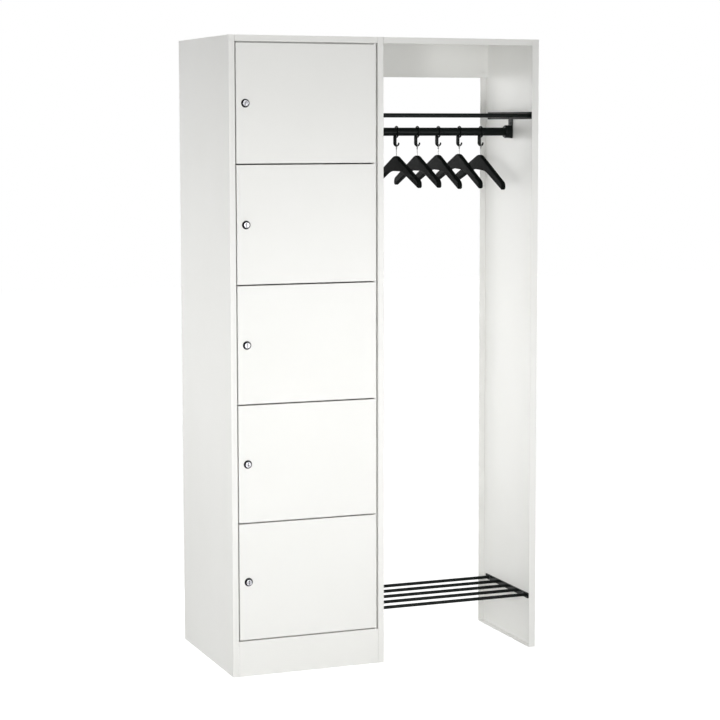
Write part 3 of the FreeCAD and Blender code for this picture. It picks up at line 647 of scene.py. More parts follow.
@dataclass(frozen=True)
class Metal(Finish):
    """Bare metal: drawn or turned marks stretched along one direction."""

    marks: Point
    depth: float
    gloss_scale: float = 400.0

    def coat(self, shader: Shader) -> None:
        """Sets up the metal.

        Args:
            shader: The material.
        """
        shader.set(Metallic=1.0)
        place = shader.stretched(self.marks)
        shader.tone(shader.noise(1.0, 3.0, place), self.dark, self.light)
        shader.rough(shader.noise(self.gloss_scale, 3.0), *self.gloss)
        shader.relief([(shader.noise(2.0, 2.0, place), self.depth)])


@dataclass(frozen=True)
class Rubber(Finish):
    """Soft rubber: dull, with a fine pitted skin."""

    level: float = 0.3
    drift_scale: float = 600.0
    gloss_scale: float = 900.0
    pit_scale: float = 2500.0
    pit: float = 0.00002

    def coat(self, shader: Shader) -> None:
        """Sets up the rubber.

        Args:
            shader: The material.
        """
        shader.set(Specular_IOR_Level=self.level)
        shader.tone(shader.noise(self.drift_scale), self.dark, self.light)
        shader.rough(shader.noise(self.gloss_scale), *self.gloss)
        shader.relief([(shader.speckle(self.pit_scale), self.pit)])


FINISHES: dict[Slot, Finish] = {
    Slot.CARCASS_WHITE: PowderCoat(
        light=(0.838, 0.838, 0.818), dark=(0.822, 0.822, 0.800), gloss=(0.40, 0.48)),
    Slot.DOOR_WHITE: PowderCoat(
        light=(0.842, 0.842, 0.823), dark=(0.828, 0.828, 0.807), gloss=(0.38, 0.46)),
    Slot.RACK_BLACK: PowderCoat(
        light=(0.0085, 0.0108, 0.0101), dark=(0.0062, 0.0080, 0.0075), gloss=(0.16, 0.24),
        level=0.06, peel=0.000012, grain=0.000003),
    Slot.SCREW_BLACK: Metal(
        light=(0.050, 0.052, 0.052), dark=(0.030, 0.032, 0.032), gloss=(0.35, 0.50),
        marks=(900.0, 900.0, 900.0), depth=0.000004),
    Slot.STEEL_PIN: Metal(
        light=(0.60, 0.60, 0.59), dark=(0.48, 0.48, 0.47), gloss=(0.25, 0.38),
        marks=(2500.0, 2500.0, 60.0), depth=0.000004),
    Slot.WIRE_STEEL: Metal(
        light=(0.34, 0.34, 0.335), dark=(0.24, 0.24, 0.236), gloss=(0.28, 0.40),
        marks=(3000.0, 3000.0, 80.0), depth=0.000003),
    Slot.BUFFER_RUBBER: Rubber(
        light=(0.060, 0.060, 0.058), dark=(0.040, 0.040, 0.040), gloss=(0.70, 0.85)),
    Slot.LOCK_BLACK: PowderCoat(
        light=(0.012, 0.012, 0.014), dark=(0.008, 0.008, 0.010), gloss=(0.24, 0.34),
        level=0.10, peel=0.000004, grain=0.000002),
    Slot.LOCK_CHROME: Metal(
        light=(0.50, 0.50, 0.52), dark=(0.40, 0.40, 0.42), gloss=(0.18, 0.28),
        marks=(700.0, 80.0, 700.0), depth=0.000002),
    Slot.HOOK_BLACK: MouldedPlastic(
        light=(0.0070, 0.0088, 0.0084), dark=(0.0050, 0.0064, 0.0060), gloss=(0.22, 0.32),
        level=0.08, grain_scale=1800.0, grain=0.000003),
    Slot.HANGER_BLACK: MouldedPlastic(
        light=(0.0060, 0.0074, 0.0069), dark=(0.0045, 0.0057, 0.0052), gloss=(0.50, 0.62),
        level=0.012, grain_scale=1400.0, grain=0.000012),
}


class Paint:
    """Shelf of finished materials, one for each slot of the record."""

    def __init__(self) -> None:
        """Builds every finish."""
        self.materials = {slot: finish.make(slot.value) for slot, finish in FINISHES.items()}

    def of(self, slot: Slot) -> bpy.types.Material:
        """Gives the material of a slot."""
        return self.materials[slot]


class Workshop:
    """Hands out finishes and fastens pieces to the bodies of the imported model."""

    def __init__(self, frame: dict, paint: Paint) -> None:
        """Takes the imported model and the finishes.

        Args:
            paint: The finished materials.
        """
        self.nodes: dict[str, bpy.types.Object] = frame["nodes"]
        self.paint = paint

    def dress(self, slot: Slot, *names: str) -> None:
        """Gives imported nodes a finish.

        Args:
            slot: Slot of the finish.
            names: Names of the nodes.
        """
        for name in names:
            for holder in self.nodes[name].material_slots:
                holder.material = self.paint.of(slot)
            LOG.info("node %s: finish %s", name, slot.value)

    def fit(self, shell: Shell, name: str, body: str, slot: Slot, *nodes: str,
            crease: float = CREASE) -> None:
        """Makes a piece, fastens it to a body and hides the nodes that it stands for.

        Args:
            shell: Surface of the piece.
            name: Name of the piece.
            body: Body that it rides on.
            slot: Slot of its finish.
            nodes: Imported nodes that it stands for.
            crease: Angle in degrees from which an edge stays sharp.
        """
        piece = shell.to_object(name, self.paint.of(slot), crease)
        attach(piece, body)
        if nodes:
            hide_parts(*nodes)
        faces = len(shell.quads) * 2 + len(shell.triangles)
        LOG.info("piece %s: %d triangles, rides on %s", name, faces, body)


# Sub-assemblies


@dataclass
class Carcass:
    """Folded and welded sheet-steel body with the hinge post, pins and door buffers."""

    buffer_x: float = -0.4585
    buffer_front: float = -0.22815
    buffer_length: float = 0.0032
    buffer_radius: float = 0.004
    buffer_dome: float = 0.0012
    dome_start: float = 0.08
    dome_power: float = 0.8
    buffer_levels: tuple[float, ...] = (1.8165, 1.4717, 1.1269, 0.7821, 0.4373)
    body: str = "cabinet"
    sheets: tuple[str, ...] = (
        "side_panel_left", "partition_panel", "side_panel_right", "locker_top", "locker_back",
        "locker_base", "plinth_front", "compartment_shelf_1", "compartment_shelf_2",
        "compartment_shelf_3", "compartment_shelf_4", "coat_bay_top", "rear_traverse",
        "hinge_post",
    )

    def buffers(self) -> Shell:
        """Shapes the rubber buffers, a stub each with a domed front.

        The dome's profile is h = d (1 - cos a) and r = R sin(a)^p over a quarter turn.

        Returns:
            All the buffers.
        """
        a = np.linspace(self.dome_start, math.pi / 2, 8)
        rise = self.buffer_dome * (1 - np.cos(a))
        dome = np.stack([rise, self.buffer_radius * np.sin(a) ** self.dome_power], axis=1)
        tail = np.array([[self.buffer_length, self.buffer_radius]])
        places = np.array([(self.buffer_x, self.buffer_front, z) for z in self.buffer_levels])
        return revolve(np.vstack([dome, tail]), Axis.BACK, 24).repeated(places)

    def build(self, shop: Workshop) -> None:
        """Dresses the sheets and fits the buffers.

        Args:
            shop: Where pieces are finished and fastened.
        """
        shop.dress(Slot.CARCASS_WHITE, *self.sheets)
        shop.dress(Slot.STEEL_PIN, "hinge_pins")
        shop.fit(self.buffers(), "rubber_buffers", self.body, Slot.BUFFER_RUBBER, "door_buffers")


@dataclass
class CamLock:
    """Cam lock of one door: rosette, threaded barrel, nut, core with key slot, cam and screw.

    Distances along the lock run back from the door's front face.
    """

    number: int
    height: float
    x: float = -0.4365
    face: float = -0.24645
    rosette_radius: float = 0.0125
    rosette_nose: float = 0.0102
    rosette_thick: float = 0.006
    rosette_bevel: float = 0.0006
    rosette_skirt: float = 0.0008
    rim_round: float = 0.0005
    seat_gap: float = 0.00002
    bore_end: float = 0.001
    mouth_gap: float = 0.0001
    barrel_radius: float = 0.010
    barrel_length: float = 0.019
    barrel_chamfer: float = 0.0007
    thread_pitch: float = 0.0015
    thread_depth: float = 0.0006
    thread_end: float = 0.0006
    bore_radius: float = 0.00748
    nut_width: float = 0.026
    nut_front: float = 0.001
    nut_thick: float = 0.004
    nut_chamfer: tuple[tuple[float, float], ...] = (
        (0.0, -0.002), (0.0, 0.0002), (0.0006, 0.0012), (0.0012, 0.0030),
    )
    cap_front: float = 0.0071
    cap_radius: float = 0.0084
    cap_thick: float = 0.0008
    cap_ease: float = 0.0001
    cap_face: tuple[tuple[float, float], ...] = (
        (0.0001, 0.0062), (0.00035, 0.0066), (0.00035, 0.0074), (0.0002, 0.0078),
        (0.0004, 0.0083),
    )
    core_radius: float = 0.0074
    slot_width: float = 0.0026
    slot_height: float = 0.0110
    slot_depth: float = 0.009
    slot_edge: tuple[tuple[float, float], ...] = (
        (0.0006, 0.0), (0.00015, 0.00005), (0.0, 0.0003),
    )
    cam_front: float = 0.0193
    cam_thick: float = 0.002
    cam_width: float = 0.014
    cam_length: float = 0.040
    cam_ease: float = 0.0003
    cam_bore_gap: float = 0.0002
    boss_radius: float = 0.004
    screw_head: float = 0.006
    screw_thick: float = 0.0025
    recess_reach: float = 0.0034
    recess_half: float = 0.0005
    recess_depth: float = 0.0011
    recess_rings: tuple[float, float] = (0.0002, 0.0036)
    rim_ring: float = 0.0040

    def housing(self) -> Shell:
        """Shapes rosette and barrel as one closed wall round the core's bore.

        The wall's profile runs round again from the bore to the rosette and back along the
        barrel. The thread takes d (1 - cos(2 pi h / pitch - t)) / 2 off the barrel's radius.

        Returns:
            The housing about the origin.
        """
        front, back = -self.rosette_thick, self.barrel_length
        nut_back = self.nut_front + self.nut_thick
        rim = soften(np.array([
            [back - self.bore_end, self.bore_radius],
            [front, self.bore_radius],
            [front, self.rosette_nose - self.rosette_bevel],
            [front + self.rosette_bevel, self.rosette_nose],
            [-self.rosette_skirt, self.rosette_radius],
            [-self.seat_gap, self.rosette_radius],
            [-self.seat_gap, self.barrel_radius],
            [nut_back, self.barrel_radius],
        ]), self.rim_round)
        turns = np.linspace(nut_back, back - self.thread_end, 72)
        barrel = np.stack([turns, np.full(len(turns), self.barrel_radius)], axis=1)
        tail = np.array([[back, self.barrel_radius - self.barrel_chamfer],
                         [back, self.bore_radius + self.mouth_gap]])
        profile = np.vstack([rim, barrel, tail])
        t = angles(64)
        thread = np.zeros((len(profile), len(t)))
        phase = 2 * math.pi * turns[:, None] / self.thread_pitch - t[None, :]
        thread[len(rim):len(rim) + len(turns)] = self.thread_depth * (1 - np.cos(phase)) / 2
        rings = rings_round(profile[:, 0], profile[:, 1, None] - thread, Axis.BACK)
        return Shell.loft(rings, round_again=True)

    def nut(self) -> Shell:
        """Shapes the hexagon nut with its corners turned off at both faces.

        The outer radius is the lesser of the hexagon's and a cone's, whose rows give the
        depth from the nearer face and the radius over half the width across the flats.

        Returns:
            The nut about the origin.
        """
        around = 72
        rise, over = np.array(self.nut_chamfer).T
        heights = np.concatenate([rise, self.nut_thick - rise[::-1]])
        cone = self.nut_width / 2 + np.concatenate([over, over[::-1]])
        outer = np.minimum(hexagon(self.nut_width, around)[None], cone[:, None])
        inner = np.full((1, around), self.barrel_radius + self.seat_gap)
        heights = np.concatenate([[0.0], heights, [self.nut_thick]]) + self.nut_front
        radii = np.vstack([inner, outer, inner])
        return Shell.loft(rings_round(heights, radii, Axis.BACK), round_again=True)

    def core(self) -> Shell:
        """Shapes the core: key slot, chamfered cap, plug and the boss under the cam.

        A row is (depth, share of the slot's outline, radius of a circle), and a ring's radius
        is the sum of both. The outline lies where a ray at angle t meets a rounded rectangle,
        |x / a|^6 + |z / b|^6 = 1. The slot's edge and the cap's face are rows of the depth
        behind the cap's front and a radius.

        Returns:
            The core about the origin.
        """
        t = angles(80)
        a, b = self.slot_width / 2, self.slot_height / 2
        outline = (np.abs(np.sin(t) / a) ** 6 + np.abs(np.cos(t) / b) ** 6) ** (-1 / 6)
        front, floor = -self.cap_front, self.slot_depth - self.cap_front
        rim, back = front + self.cap_thick, self.cam_front
        rows = np.array([
            (floor, 0.4, 0.0),
            (floor, 1.0, 0.0),
            *((front + depth, 1.0, wider) for depth, wider in self.slot_edge),
            *((front + depth, 0.0, radius) for depth, radius in self.cap_face),
            (rim - self.cap_ease, 0.0, self.cap_radius),
            (rim, 0.0, self.cap_radius - 2 * self.cap_ease),
            (rim, 0.0, self.core_radius),
            (back, 0.0, self.core_radius),
            (back, 0.0, self.boss_radius),
            (back + self.cam_thick, 0.0, self.boss_radius),
        ])
        radii = rows[:, 1, None] * outline[None] + rows[:, 2, None]
        return Shell.loft(rings_round(rows[:, 0], radii, Axis.BACK))

    def cam(self) -> Shell:
        """Shapes the cam, a flat bar with round ends and eased edges, hanging down.

        Its outline is a circle of half the width carried from the axis to the tip: the point
        at angle t is (r sin t, r cos t), lowered by the reach where cos t is negative.

        Returns:
            The cam about the origin.
        """
        t = angles(64)
        half, reach = self.cam_width / 2, self.cam_length - self.cam_width / 2
        front, back, ease = self.cam_front, self.cam_front + self.cam_thick, self.cam_ease
        bore = self.boss_radius + self.cam_bore_gap
        rows = np.array([
            [front, bore, 0.0], [front, half - ease, 1.0], [front + ease, half, 1.0],
            [back - ease, half, 1.0], [back, half - ease, 1.0], [back, bore, 0.0],
        ])
        drop = rows[:, 2, None] * reach * (np.cos(t) < -1e-9)[None]
        x = rows[:, 1, None] * np.sin(t)[None]
        z = rows[:, 1, None] * np.cos(t)[None] - drop
        y = np.broadcast_to(rows[:, 0, None], x.shape)
        return Shell.loft(np.stack([x, y, z], axis=-1), round_again=True)

    def screw(self) -> Shell:
        """Shapes the cam screw's pan head with a cross recess.

        The dome's height is T sqrt(1 - 3/4 (r / R)^2), less the recess's depth where
        min(|x|, |z|) is under half a blade.

        Returns:
            The head about the origin.
        """
        back = self.cam_front + self.cam_thick
        r = np.concatenate([np.linspace(*self.recess_rings, 12),
                            np.linspace(self.rim_ring, self.screw_head, 6)])
        t = angles(72)
        x, z = r[:, None] * np.sin(t)[None], r[:, None] * np.cos(t)[None]
        dome = self.screw_thick * np.sqrt(1.0001 - (r[:, None] / self.screw_head) ** 2 * 0.75)
        blade = np.minimum(np.abs(x), np.abs(z)) < self.recess_half
        y = back + dome - self.recess_depth * (blade & (r[:, None] < self.recess_reach))
        cap = np.stack([x, y, z], axis=-1)
        foot = cap[-1:].copy()
        foot[..., 1] = back
        return Shell.loft(np.concatenate([cap, foot]))

    def build(self, shop: Workshop) -> None:
        """Fits the lock to its door.

        Args:
            shop: Where pieces are finished and fastened.
        """
        door, lock = f"door_{self.number}", f"lock_{self.number}"
        pieces = (
            (self.housing(), "lock_rosette", door, Slot.LOCK_BLACK, "lock_housing", CREASE),
            (self.nut(), "lock_nut", door, Slot.LOCK_BLACK, "lock_housing", HEXAGON_CREASE),
            (self.core(), "lock_plug", lock, Slot.LOCK_CHROME, "lock_core", CUT_CREASE),
            (self.cam(), "lock_cam", lock, Slot.LOCK_CHROME, "lock_core", CREASE),
            (self.screw(), "lock_screw", lock, Slot.LOCK_CHROME, "lock_core", CREASE),
        )
        for shell, name, body, slot, node, crease in pieces:
            shop.fit(shell.moved((self.x, self.face, self.height)), f"{name}_{self.number}",
                     body, slot, f"{node}_{self.number}", crease=crease)


@dataclass
class DoorColumn:
    """Five door pans with their cam locks."""

    lock_levels: tuple[float, ...] = (1.6576, 1.3128, 0.9680, 0.6232, 0.2784)

    def build(self, shop: Workshop) -> None:
        """Dresses the pans and fits a lock in each.

        Args:
            shop: Where pieces are finished and fastened.
        """
        for number, height in enumerate(self.lock_levels, start=1):
            shop.dress(Slot.DOOR_WHITE, f"door_{number}")
            CamLock(number, height).build(shop)


@dataclass
class TubeRack:
    """Rack of five tubes between two end bars, welded, and screwed to the panels."""

    name: str
    level: float
    tube_radius: float
    left: float = BAY_LEFT
    right: float = BAY_RIGHT
    first_y: float = -0.18245
    pitch: float = 0.068
    count: int = 5
    bead: float = 0.0011
    bead_gap: float = 0.0002
    ripples: int = 22
    ripple: float = 0.12

    def welds(self) -> Shell:
        """Shapes the weld beads round the tube ends.

        A bead is a ring whose section swells with the ripples of the weld, r (1 + q cos n t)
        for n ripples of the height q.

        Returns:
            All the beads of the rack.
        """
        t, s = angles(3 * self.ripples), angles(10)
        section = self.bead * (1 + self.ripple * np.cos(self.ripples * t))
        ring = self.tube_radius + self.bead_gap + section[:, None] * np.cos(s)[None]
        x = section[:, None] * np.sin(s)[None]
        rings = np.stack([x, ring * np.cos(t)[:, None], ring * np.sin(t)[:, None]], axis=-1)
        y = self.first_y + self.pitch * np.arange(self.count)
        places = np.array([(x, depth, self.level) for x in (self.left, self.right) for depth in y])
        return Shell.loft(rings, True).repeated(places)

    def build(self, shop: Workshop) -> None:
        """Dresses the tubes and bars and fits the welds.

        Args:
            shop: Where pieces are finished and fastened.
        """
        shop.dress(Slot.RACK_BLACK, f"{self.name}_tubes", f"{self.name}_bar_left",
                   f"{self.name}_bar_right")
        shop.fit(self.welds(), f"{self.name}_welds", "cabinet", Slot.RACK_BLACK)


@dataclass
class RackScrews:
    """Button-head screws with hexagon sockets that hold the racks and drop brackets."""

    left: float = BAY_LEFT
    right: float = BAY_RIGHT
    places: tuple[tuple[float, float], ...] = (
        (-0.16845, 1.625), (0.07555, 1.625), (-0.16845, 0.150), (0.07555, 0.150),
        (-0.05645, 1.60204),
    )
    head_radius: float = 0.0045
    head_thick: float = 0.0022
    shank_radius: float = 0.0025
    shank_length: float = 0.0047
    socket_width: float = 0.0030
    socket_depth: float = 0.0013
    socket_edge: tuple[float, float] = (0.0002, 0.00015)
    dome: tuple[tuple[float, float], ...] = (
        (0.0, 0.0024), (0.0003, 0.0032), (0.0008, 0.0039), (0.0014, 0.0043),
    )
    head_ease: tuple[float, float] = (0.0003, 0.0002)
    tip_chamfer: float = 0.0005

    def screw(self, axis: Axis) -> Shell:
        """Shapes one screw, its head towards the axis's positive end.

        A row is (height, share of the socket's hexagon, radius of a circle), and a ring's
        radius is the sum of both. The dome's rows are the depth below the top and a radius.

        Args:
            axis: Direction that the head faces.

        Returns:
            The screw, the seat of its head at the origin.
        """
        top, floor = self.head_thick, self.head_thick - self.socket_depth
        rows = np.array([
            (floor, 0.5, 0.0),
            (floor, 1.0, 0.0),
            (top - self.socket_edge[0], 1.0, 0.0),
            (top, 1.0, self.socket_edge[1]),
            *((top - depth, 0.0, radius) for depth, radius in self.dome),
            (self.head_ease[0], 0.0, self.head_radius),
            (0.0, 0.0, self.head_radius - self.head_ease[1]),
            (0.0, 0.0, self.shank_radius),
            (self.tip_chamfer - self.shank_length, 0.0, self.shank_radius),
            (-self.shank_length, 0.0, self.shank_radius - self.tip_chamfer),
        ])
        radii = rows[:, 1, None] * hexagon(self.socket_width, 60)[None] + rows[:, 2, None]
        return Shell.loft(rings_round(rows[:, 0], radii, axis))

    def build(self, shop: Workshop) -> None:
        """Fits the screws at both sides of the bay.

        Args:
            shop: Where pieces are finished and fastened.
        """
        left = np.array([(self.left, y, z) for y, z in self.places])
        right = np.array([(self.right, y, z) for y, z in self.places])
        screws = Shell.joined([self.screw(Axis.RIGHT).repeated(left),
                               self.screw(Axis.LEFT).repeated(right)])
        shop.fit(screws, "socket_screws", "cabinet", Slot.SCREW_BLACK, "rack_screws",
                 crease=CUT_CREASE)


@dataclass
class CoatRail:
    """Coat rail with its drop brackets and end sockets."""

    left: float = BAY_LEFT
    right: float = BAY_RIGHT
    y: float = RAIL_Y
    z: float = 1.576
    rim_radius: float = 0.0196
    rim_length: float = 0.016
    nose_radius: float = 0.0175
    length: float = 0.020
    bore: float = 0.0126
    floor: float = 0.002
    hub: float = 0.002
    round_over: float = 0.0008

    def socket(self, axis: Axis) -> Shell:
        """Shapes one end socket as a turned cup with eased edges.

        Args:
            axis: Direction from the bracket to the rail.

        Returns:
            The socket, its seat at the origin.
        """
        profile = soften(np.array([
            [0.0, self.hub], [0.0, self.rim_radius], [self.rim_length, self.rim_radius],
            [self.length, self.nose_radius], [self.length, self.bore], [self.floor, self.bore],
            [self.floor, self.hub],
        ]), self.round_over, 5)
        return revolve(profile, axis, 72)

    def build(self, shop: Workshop) -> None:
        """Dresses rail and brackets and fits the sockets.

        Args:
            shop: Where pieces are finished and fastened.
        """
        shop.dress(Slot.RACK_BLACK, "coat_rail", "rail_bracket_left", "rail_bracket_right")
        seats = (("left", self.left, Axis.RIGHT), ("right", self.right, Axis.LEFT))
        for side, x, axis in seats:
            shell = self.socket(axis).moved((x, self.y, self.z))
            shop.fit(shell, f"rail_cup_{side}", "cabinet", Slot.HOOK_BLACK,
                     f"rail_socket_{side}")


@dataclass
class HangingSet:
    """Ring hook, hanger wire and hanger of one place on the rail."""

    number: int
    x: float
    tilt: float
    wire_drop: float
    y: float = RAIL_Y
    ring_level: float = 1.5755
    bar_level: float = 1.5337
    ring_radius: float = 0.0158
    ring_wire: float = 0.0025
    bowl_radius: float = 0.0075
    bowl_wire: float = 0.0025
    stem_radius: float = 0.0054
    stem_shift: float = 0.005
    stem_bite: float = 0.0005
    wire_radius: float = 0.00125
    eye_radius: float = 0.0046
    seat_gap: float = 0.0003
    collar_length: float = 0.005
    collar_radius: float = 0.0021
    winding: float = 0.07
    winding_pitch: float = 0.00125
    bead_depth: float = 0.014
    bead_radius: float = 0.004
    bead_thick: float = 0.003
    bead_round: float = 0.0005
    neck_step: float = 0.0004

    def hook(self) -> Shell:
        """Shapes the ring and the hook under it, a J that thins out to its tip.

        The J's bowl has the centre line R(a) and the section r(a), with s = a / 90 degrees
        eased by 3 s^2 - 2 s^3 over the bowl's first quarter, R going from the stem's shift to
        the bowl's radius and r from the stem's radius to the bowl's.

        Returns:
            The hook about the ring's centre.
        """
        circle = circle_path(self.ring_radius, 72)
        ring = sweep(circle, np.full(len(circle), self.ring_wire), (1.0, 0.0, 0.0), 18,
                     closed=True)
        bowl_z = self.bar_level - self.ring_level + self.bowl_radius
        a = np.linspace(0.0, math.pi, 40)
        s = np.clip(a / (math.pi / 2), 0.0, 1.0)
        eased = 3 * s**2 - 2 * s**3
        reach = self.stem_shift + (self.bowl_radius - self.stem_shift) * eased
        section = self.stem_radius + (self.bowl_wire - self.stem_radius) * eased
        bowl = np.stack([-reach * np.cos(a), np.zeros_like(a), bowl_z - reach * np.sin(a)], axis=1)
        levels = np.linspace(self.stem_bite - self.ring_radius, bowl_z, 14, endpoint=False)
        stem = np.zeros((len(levels), 3))
        stem[:, 0], stem[:, 2] = -self.stem_shift, levels
        stem_section = np.full(len(levels), self.stem_radius)
        path, radii = domed(np.vstack([stem, bowl]), np.concatenate([stem_section, section]))
        return Shell.joined([ring, sweep(path, radii, (0.0, 1.0, 0.0), 24)])

    def wire(self) -> Shell:
        """Shapes the steel wire: eye, wound neck, straight run and end bead.

        The neck's radius ripples with the turns of the winding by a share q,
        r (1 - q + q cos(2 pi z / pitch - t)).

        Returns:
            The wire about the hook bar.
        """
        centre = self.bowl_wire + self.seat_gap + self.wire_radius - self.eye_radius
        circle = circle_path(self.eye_radius, 56)
        eye = sweep(circle, np.full(len(circle), self.wire_radius), (1.0, 0.0, 0.0), 14,
                    closed=True)
        top = centre - self.eye_radius
        end = -self.wire_drop - self.bead_depth - self.seat_gap - self.bead_thick
        neck = np.linspace(top, top - self.collar_length, 40)
        below = np.array([neck[-1] - self.neck_step, end + self.bead_thick])
        bead = soften(np.array([[end + self.bead_thick, self.wire_radius],
                                [end + self.bead_thick, self.bead_radius],
                                [end, self.bead_radius], [end, self.bead_round]]),
                      self.bead_round)
        profile = np.vstack([
            np.stack([neck, np.full(len(neck), self.collar_radius)], axis=1),
            np.stack([below, np.full(len(below), self.wire_radius)], axis=1),
            bead,
        ])
        around = angles(28)
        swell = np.ones((len(profile), len(around)))
        phase = 2 * math.pi * neck[:, None] / self.winding_pitch - around[None]
        swell[:len(neck)] = 1 - self.winding + self.winding * np.cos(phase)
        return Shell.joined([eye.moved((0.0, 0.0, centre)),
                             revolve(profile, Axis.UP, len(around), swell)])

    def build(self, shop: Workshop) -> None:
        """Fits hook and wire and dresses the hanger.

        Args:
            shop: Where pieces are finished and fastened.
        """
        n = self.number
        hook = self.hook().moved((self.x, self.y, self.ring_level))
        shop.fit(hook, f"hook_{n}", f"ring_{n}", Slot.HOOK_BLACK, f"ring_hook_{n}")
        wire = self.wire().turned(turn_x(self.tilt)).moved((self.x, self.y, self.bar_level))
        shop.fit(wire, f"eye_wire_{n}", f"wire_{n}", Slot.WIRE_STEEL, f"hanger_wire_{n}")
        shop.dress(Slot.HANGER_BLACK, f"hanger_{n}")


@dataclass
class Hangers:
    """The five hanging sets along the rail."""

    places: tuple[float, ...] = (0.1023, 0.1704, 0.2398, 0.3096, 0.3812)
    tilts: tuple[float, ...] = (-0.3, 0.1, 2.1, 2.6, 3.2)
    drops: tuple[float, ...] = (0.0300, 0.0289, 0.0273, 0.0249, 0.0280)

    def build(self, shop: Workshop) -> None:
        """Builds every set.

        Args:
            shop: Where pieces are finished and fastened.
        """
        for number, (x, tilt, drop) in enumerate(zip(self.places, self.tilts, self.drops), 1):
            HangingSet(number, x, tilt, drop).build(shop)


# Stage, light and camera


def add_node(tree: bpy.types.NodeTree, kind: str, **values: float | Colour) -> bpy.types.Node:
    """Adds a node and sets its constant sockets.

    Args:
        tree: Node tree to add to.
        kind: Type of the node.
        values: Socket names and their values.

    Returns:
        The node.
    """
    node = tree.nodes.new(kind)
    for name, value in values.items():
        socket = node.inputs[name]
        socket.default_value = (*value, 1.0) if isinstance(value, tuple) else value
    return node


def mixed_by_ray(tree: bpy.types.NodeTree, plain: bpy.types.NodeSocket,
                 seen: bpy.types.NodeSocket) -> bpy.types.NodeSocket:
    """Mixes two shaders by the kind of ray.

    Args:
        tree: Node tree to add the nodes to.
        plain: Shader for all other rays.
        seen: Shader for rays from the camera and from gloss and glass.

    Returns:
        The mixed shader.
    """
    path = tree.nodes.new("ShaderNodeLightPath")
    factor = path.outputs["Is Camera Ray"]
    for name in ("Is Glossy Ray", "Is Transmission Ray"):
        larger = tree.nodes.new("ShaderNodeMath")
        larger.operation = "MAXIMUM"
        tree.links.new(factor, larger.inputs[0])
        tree.links.new(path.outputs[name], larger.inputs[1])
        factor = larger.outputs[0]
    mix = tree.nodes.new("ShaderNodeMixShader")
    tree.links.new(factor, mix.inputs["Fac"])
    tree.links.new(plain, mix.inputs[1])
    tree.links.new(seen, mix.inputs[2])
    return mix.outputs["Shader"]


@dataclass
class Stage:
    """White floor that keeps the object's shadow, under an even white surround."""

    half: float = 14.0
    glow: float = 0.98
    shade: Colour = (0.30, 0.30, 0.30)
    bounce: Colour = (0.62, 0.62, 0.60)
    cells: int = 8
    surround: Colour = (1.0, 1.0, 0.96)
    strength: float = 0.10

    def floor_material(self) -> bpy.types.Material:
        """Builds the floor's material: a glow and a shaded share for the eye, plain elsewhere.

        Returns:
            The material.
        """
        material = bpy.data.materials.new("stage_floor")
        material.use_nodes = True
        tree = material.node_tree
        tree.nodes.clear()
        output = tree.nodes.new("ShaderNodeOutputMaterial")
        plain = add_node(tree, "ShaderNodeBsdfDiffuse", Color=self.bounce)
        shaded = add_node(tree, "ShaderNodeBsdfDiffuse", Color=self.shade)
        glow = add_node(tree, "ShaderNodeEmission", Strength=self.glow)
        both = tree.nodes.new("ShaderNodeAddShader")
        tree.links.new(shaded.outputs["BSDF"], both.inputs[0])
        tree.links.new(glow.outputs["Emission"], both.inputs[1])
        mixed = mixed_by_ray(tree, plain.outputs["BSDF"], both.outputs["Shader"])
        tree.links.new(mixed, output.inputs["Surface"])
        return material

    def floor(self) -> None:
        """Lays the floor as a flat grid, z = 0 at every point.

        Cell (i, j) has its first corner at point i (n + 1) + j, for n cells along each side.
        """
        side = np.linspace(-self.half, self.half, self.cells + 1)
        x, y = np.meshgrid(side, side)
        points = np.stack([x, y, np.zeros_like(x)], axis=-1).reshape(-1, 3)
        row, column = np.meshgrid(np.arange(self.cells), np.arange(self.cells), indexing="ij")
        start = (row * (self.cells + 1) + column).reshape(-1, 1)
        quads = start + np.array([[0, 1, self.cells + 2, self.cells + 1]])
        mesh = bpy.data.meshes.new("studio_floor")
        mesh.from_pydata(points.tolist(), [], quads.tolist())
        mesh.materials.append(self.floor_material())
        floor = bpy.data.objects.new("studio_floor", mesh)
        bpy.context.scene.collection.objects.link(floor)

    def world(self) -> None:
        """Surrounds the scene with white for the eye and a softer, warmer light elsewhere."""
        world = bpy.data.worlds.new("studio")
        bpy.context.scene.world = world
        world.use_nodes = True
        tree = world.node_tree
        tree.nodes.clear()
        output = tree.nodes.new("ShaderNodeOutputWorld")
        light = add_node(tree, "ShaderNodeBackground", Color=self.surround,
                         Strength=self.strength)
        white = add_node(tree, "ShaderNodeBackground", Color=(1.0, 1.0, 1.0), Strength=1.0)
        mixed = mixed_by_ray(tree, light.outputs["Background"], white.outputs["Background"])
        tree.links.new(mixed, output.inputs["Surface"])

    def build(self) -> None:
        """Sets up floor and world."""
        self.floor()
        self.world()
        LOG.info("stage: floor and surround")


@dataclass(frozen=True)
class SoftBox:
    """Rectangular soft light, turned towards a point, with a grid that narrows its beam."""

    name: str
    place: Point
    target: Point
    size: tuple[float, float]
    power: float
    spread: float = 180.0

    def build(self) -> None:
        """Hangs the light."""
        lamp = bpy.data.lights.new(self.name, "AREA")
        lamp.shape = "RECTANGLE"
        lamp.size, lamp.size_y = self.size
        lamp.energy = self.power
        lamp.spread = math.radians(self.spread)
        holder = bpy.data.objects.new(self.name, lamp)
        bpy.context.scene.collection.objects.link(holder)
        x, y, z = np.array(self.target) - np.array(self.place)
        holder.location = self.place
        holder.rotation_euler = (math.atan2(math.hypot(x, y), -z), 0.0,
                                 math.atan2(y, x) - math.pi / 2)
        holder.visible_camera = False
        LOG.info("light %s: %.1f W", self.name, self.power)


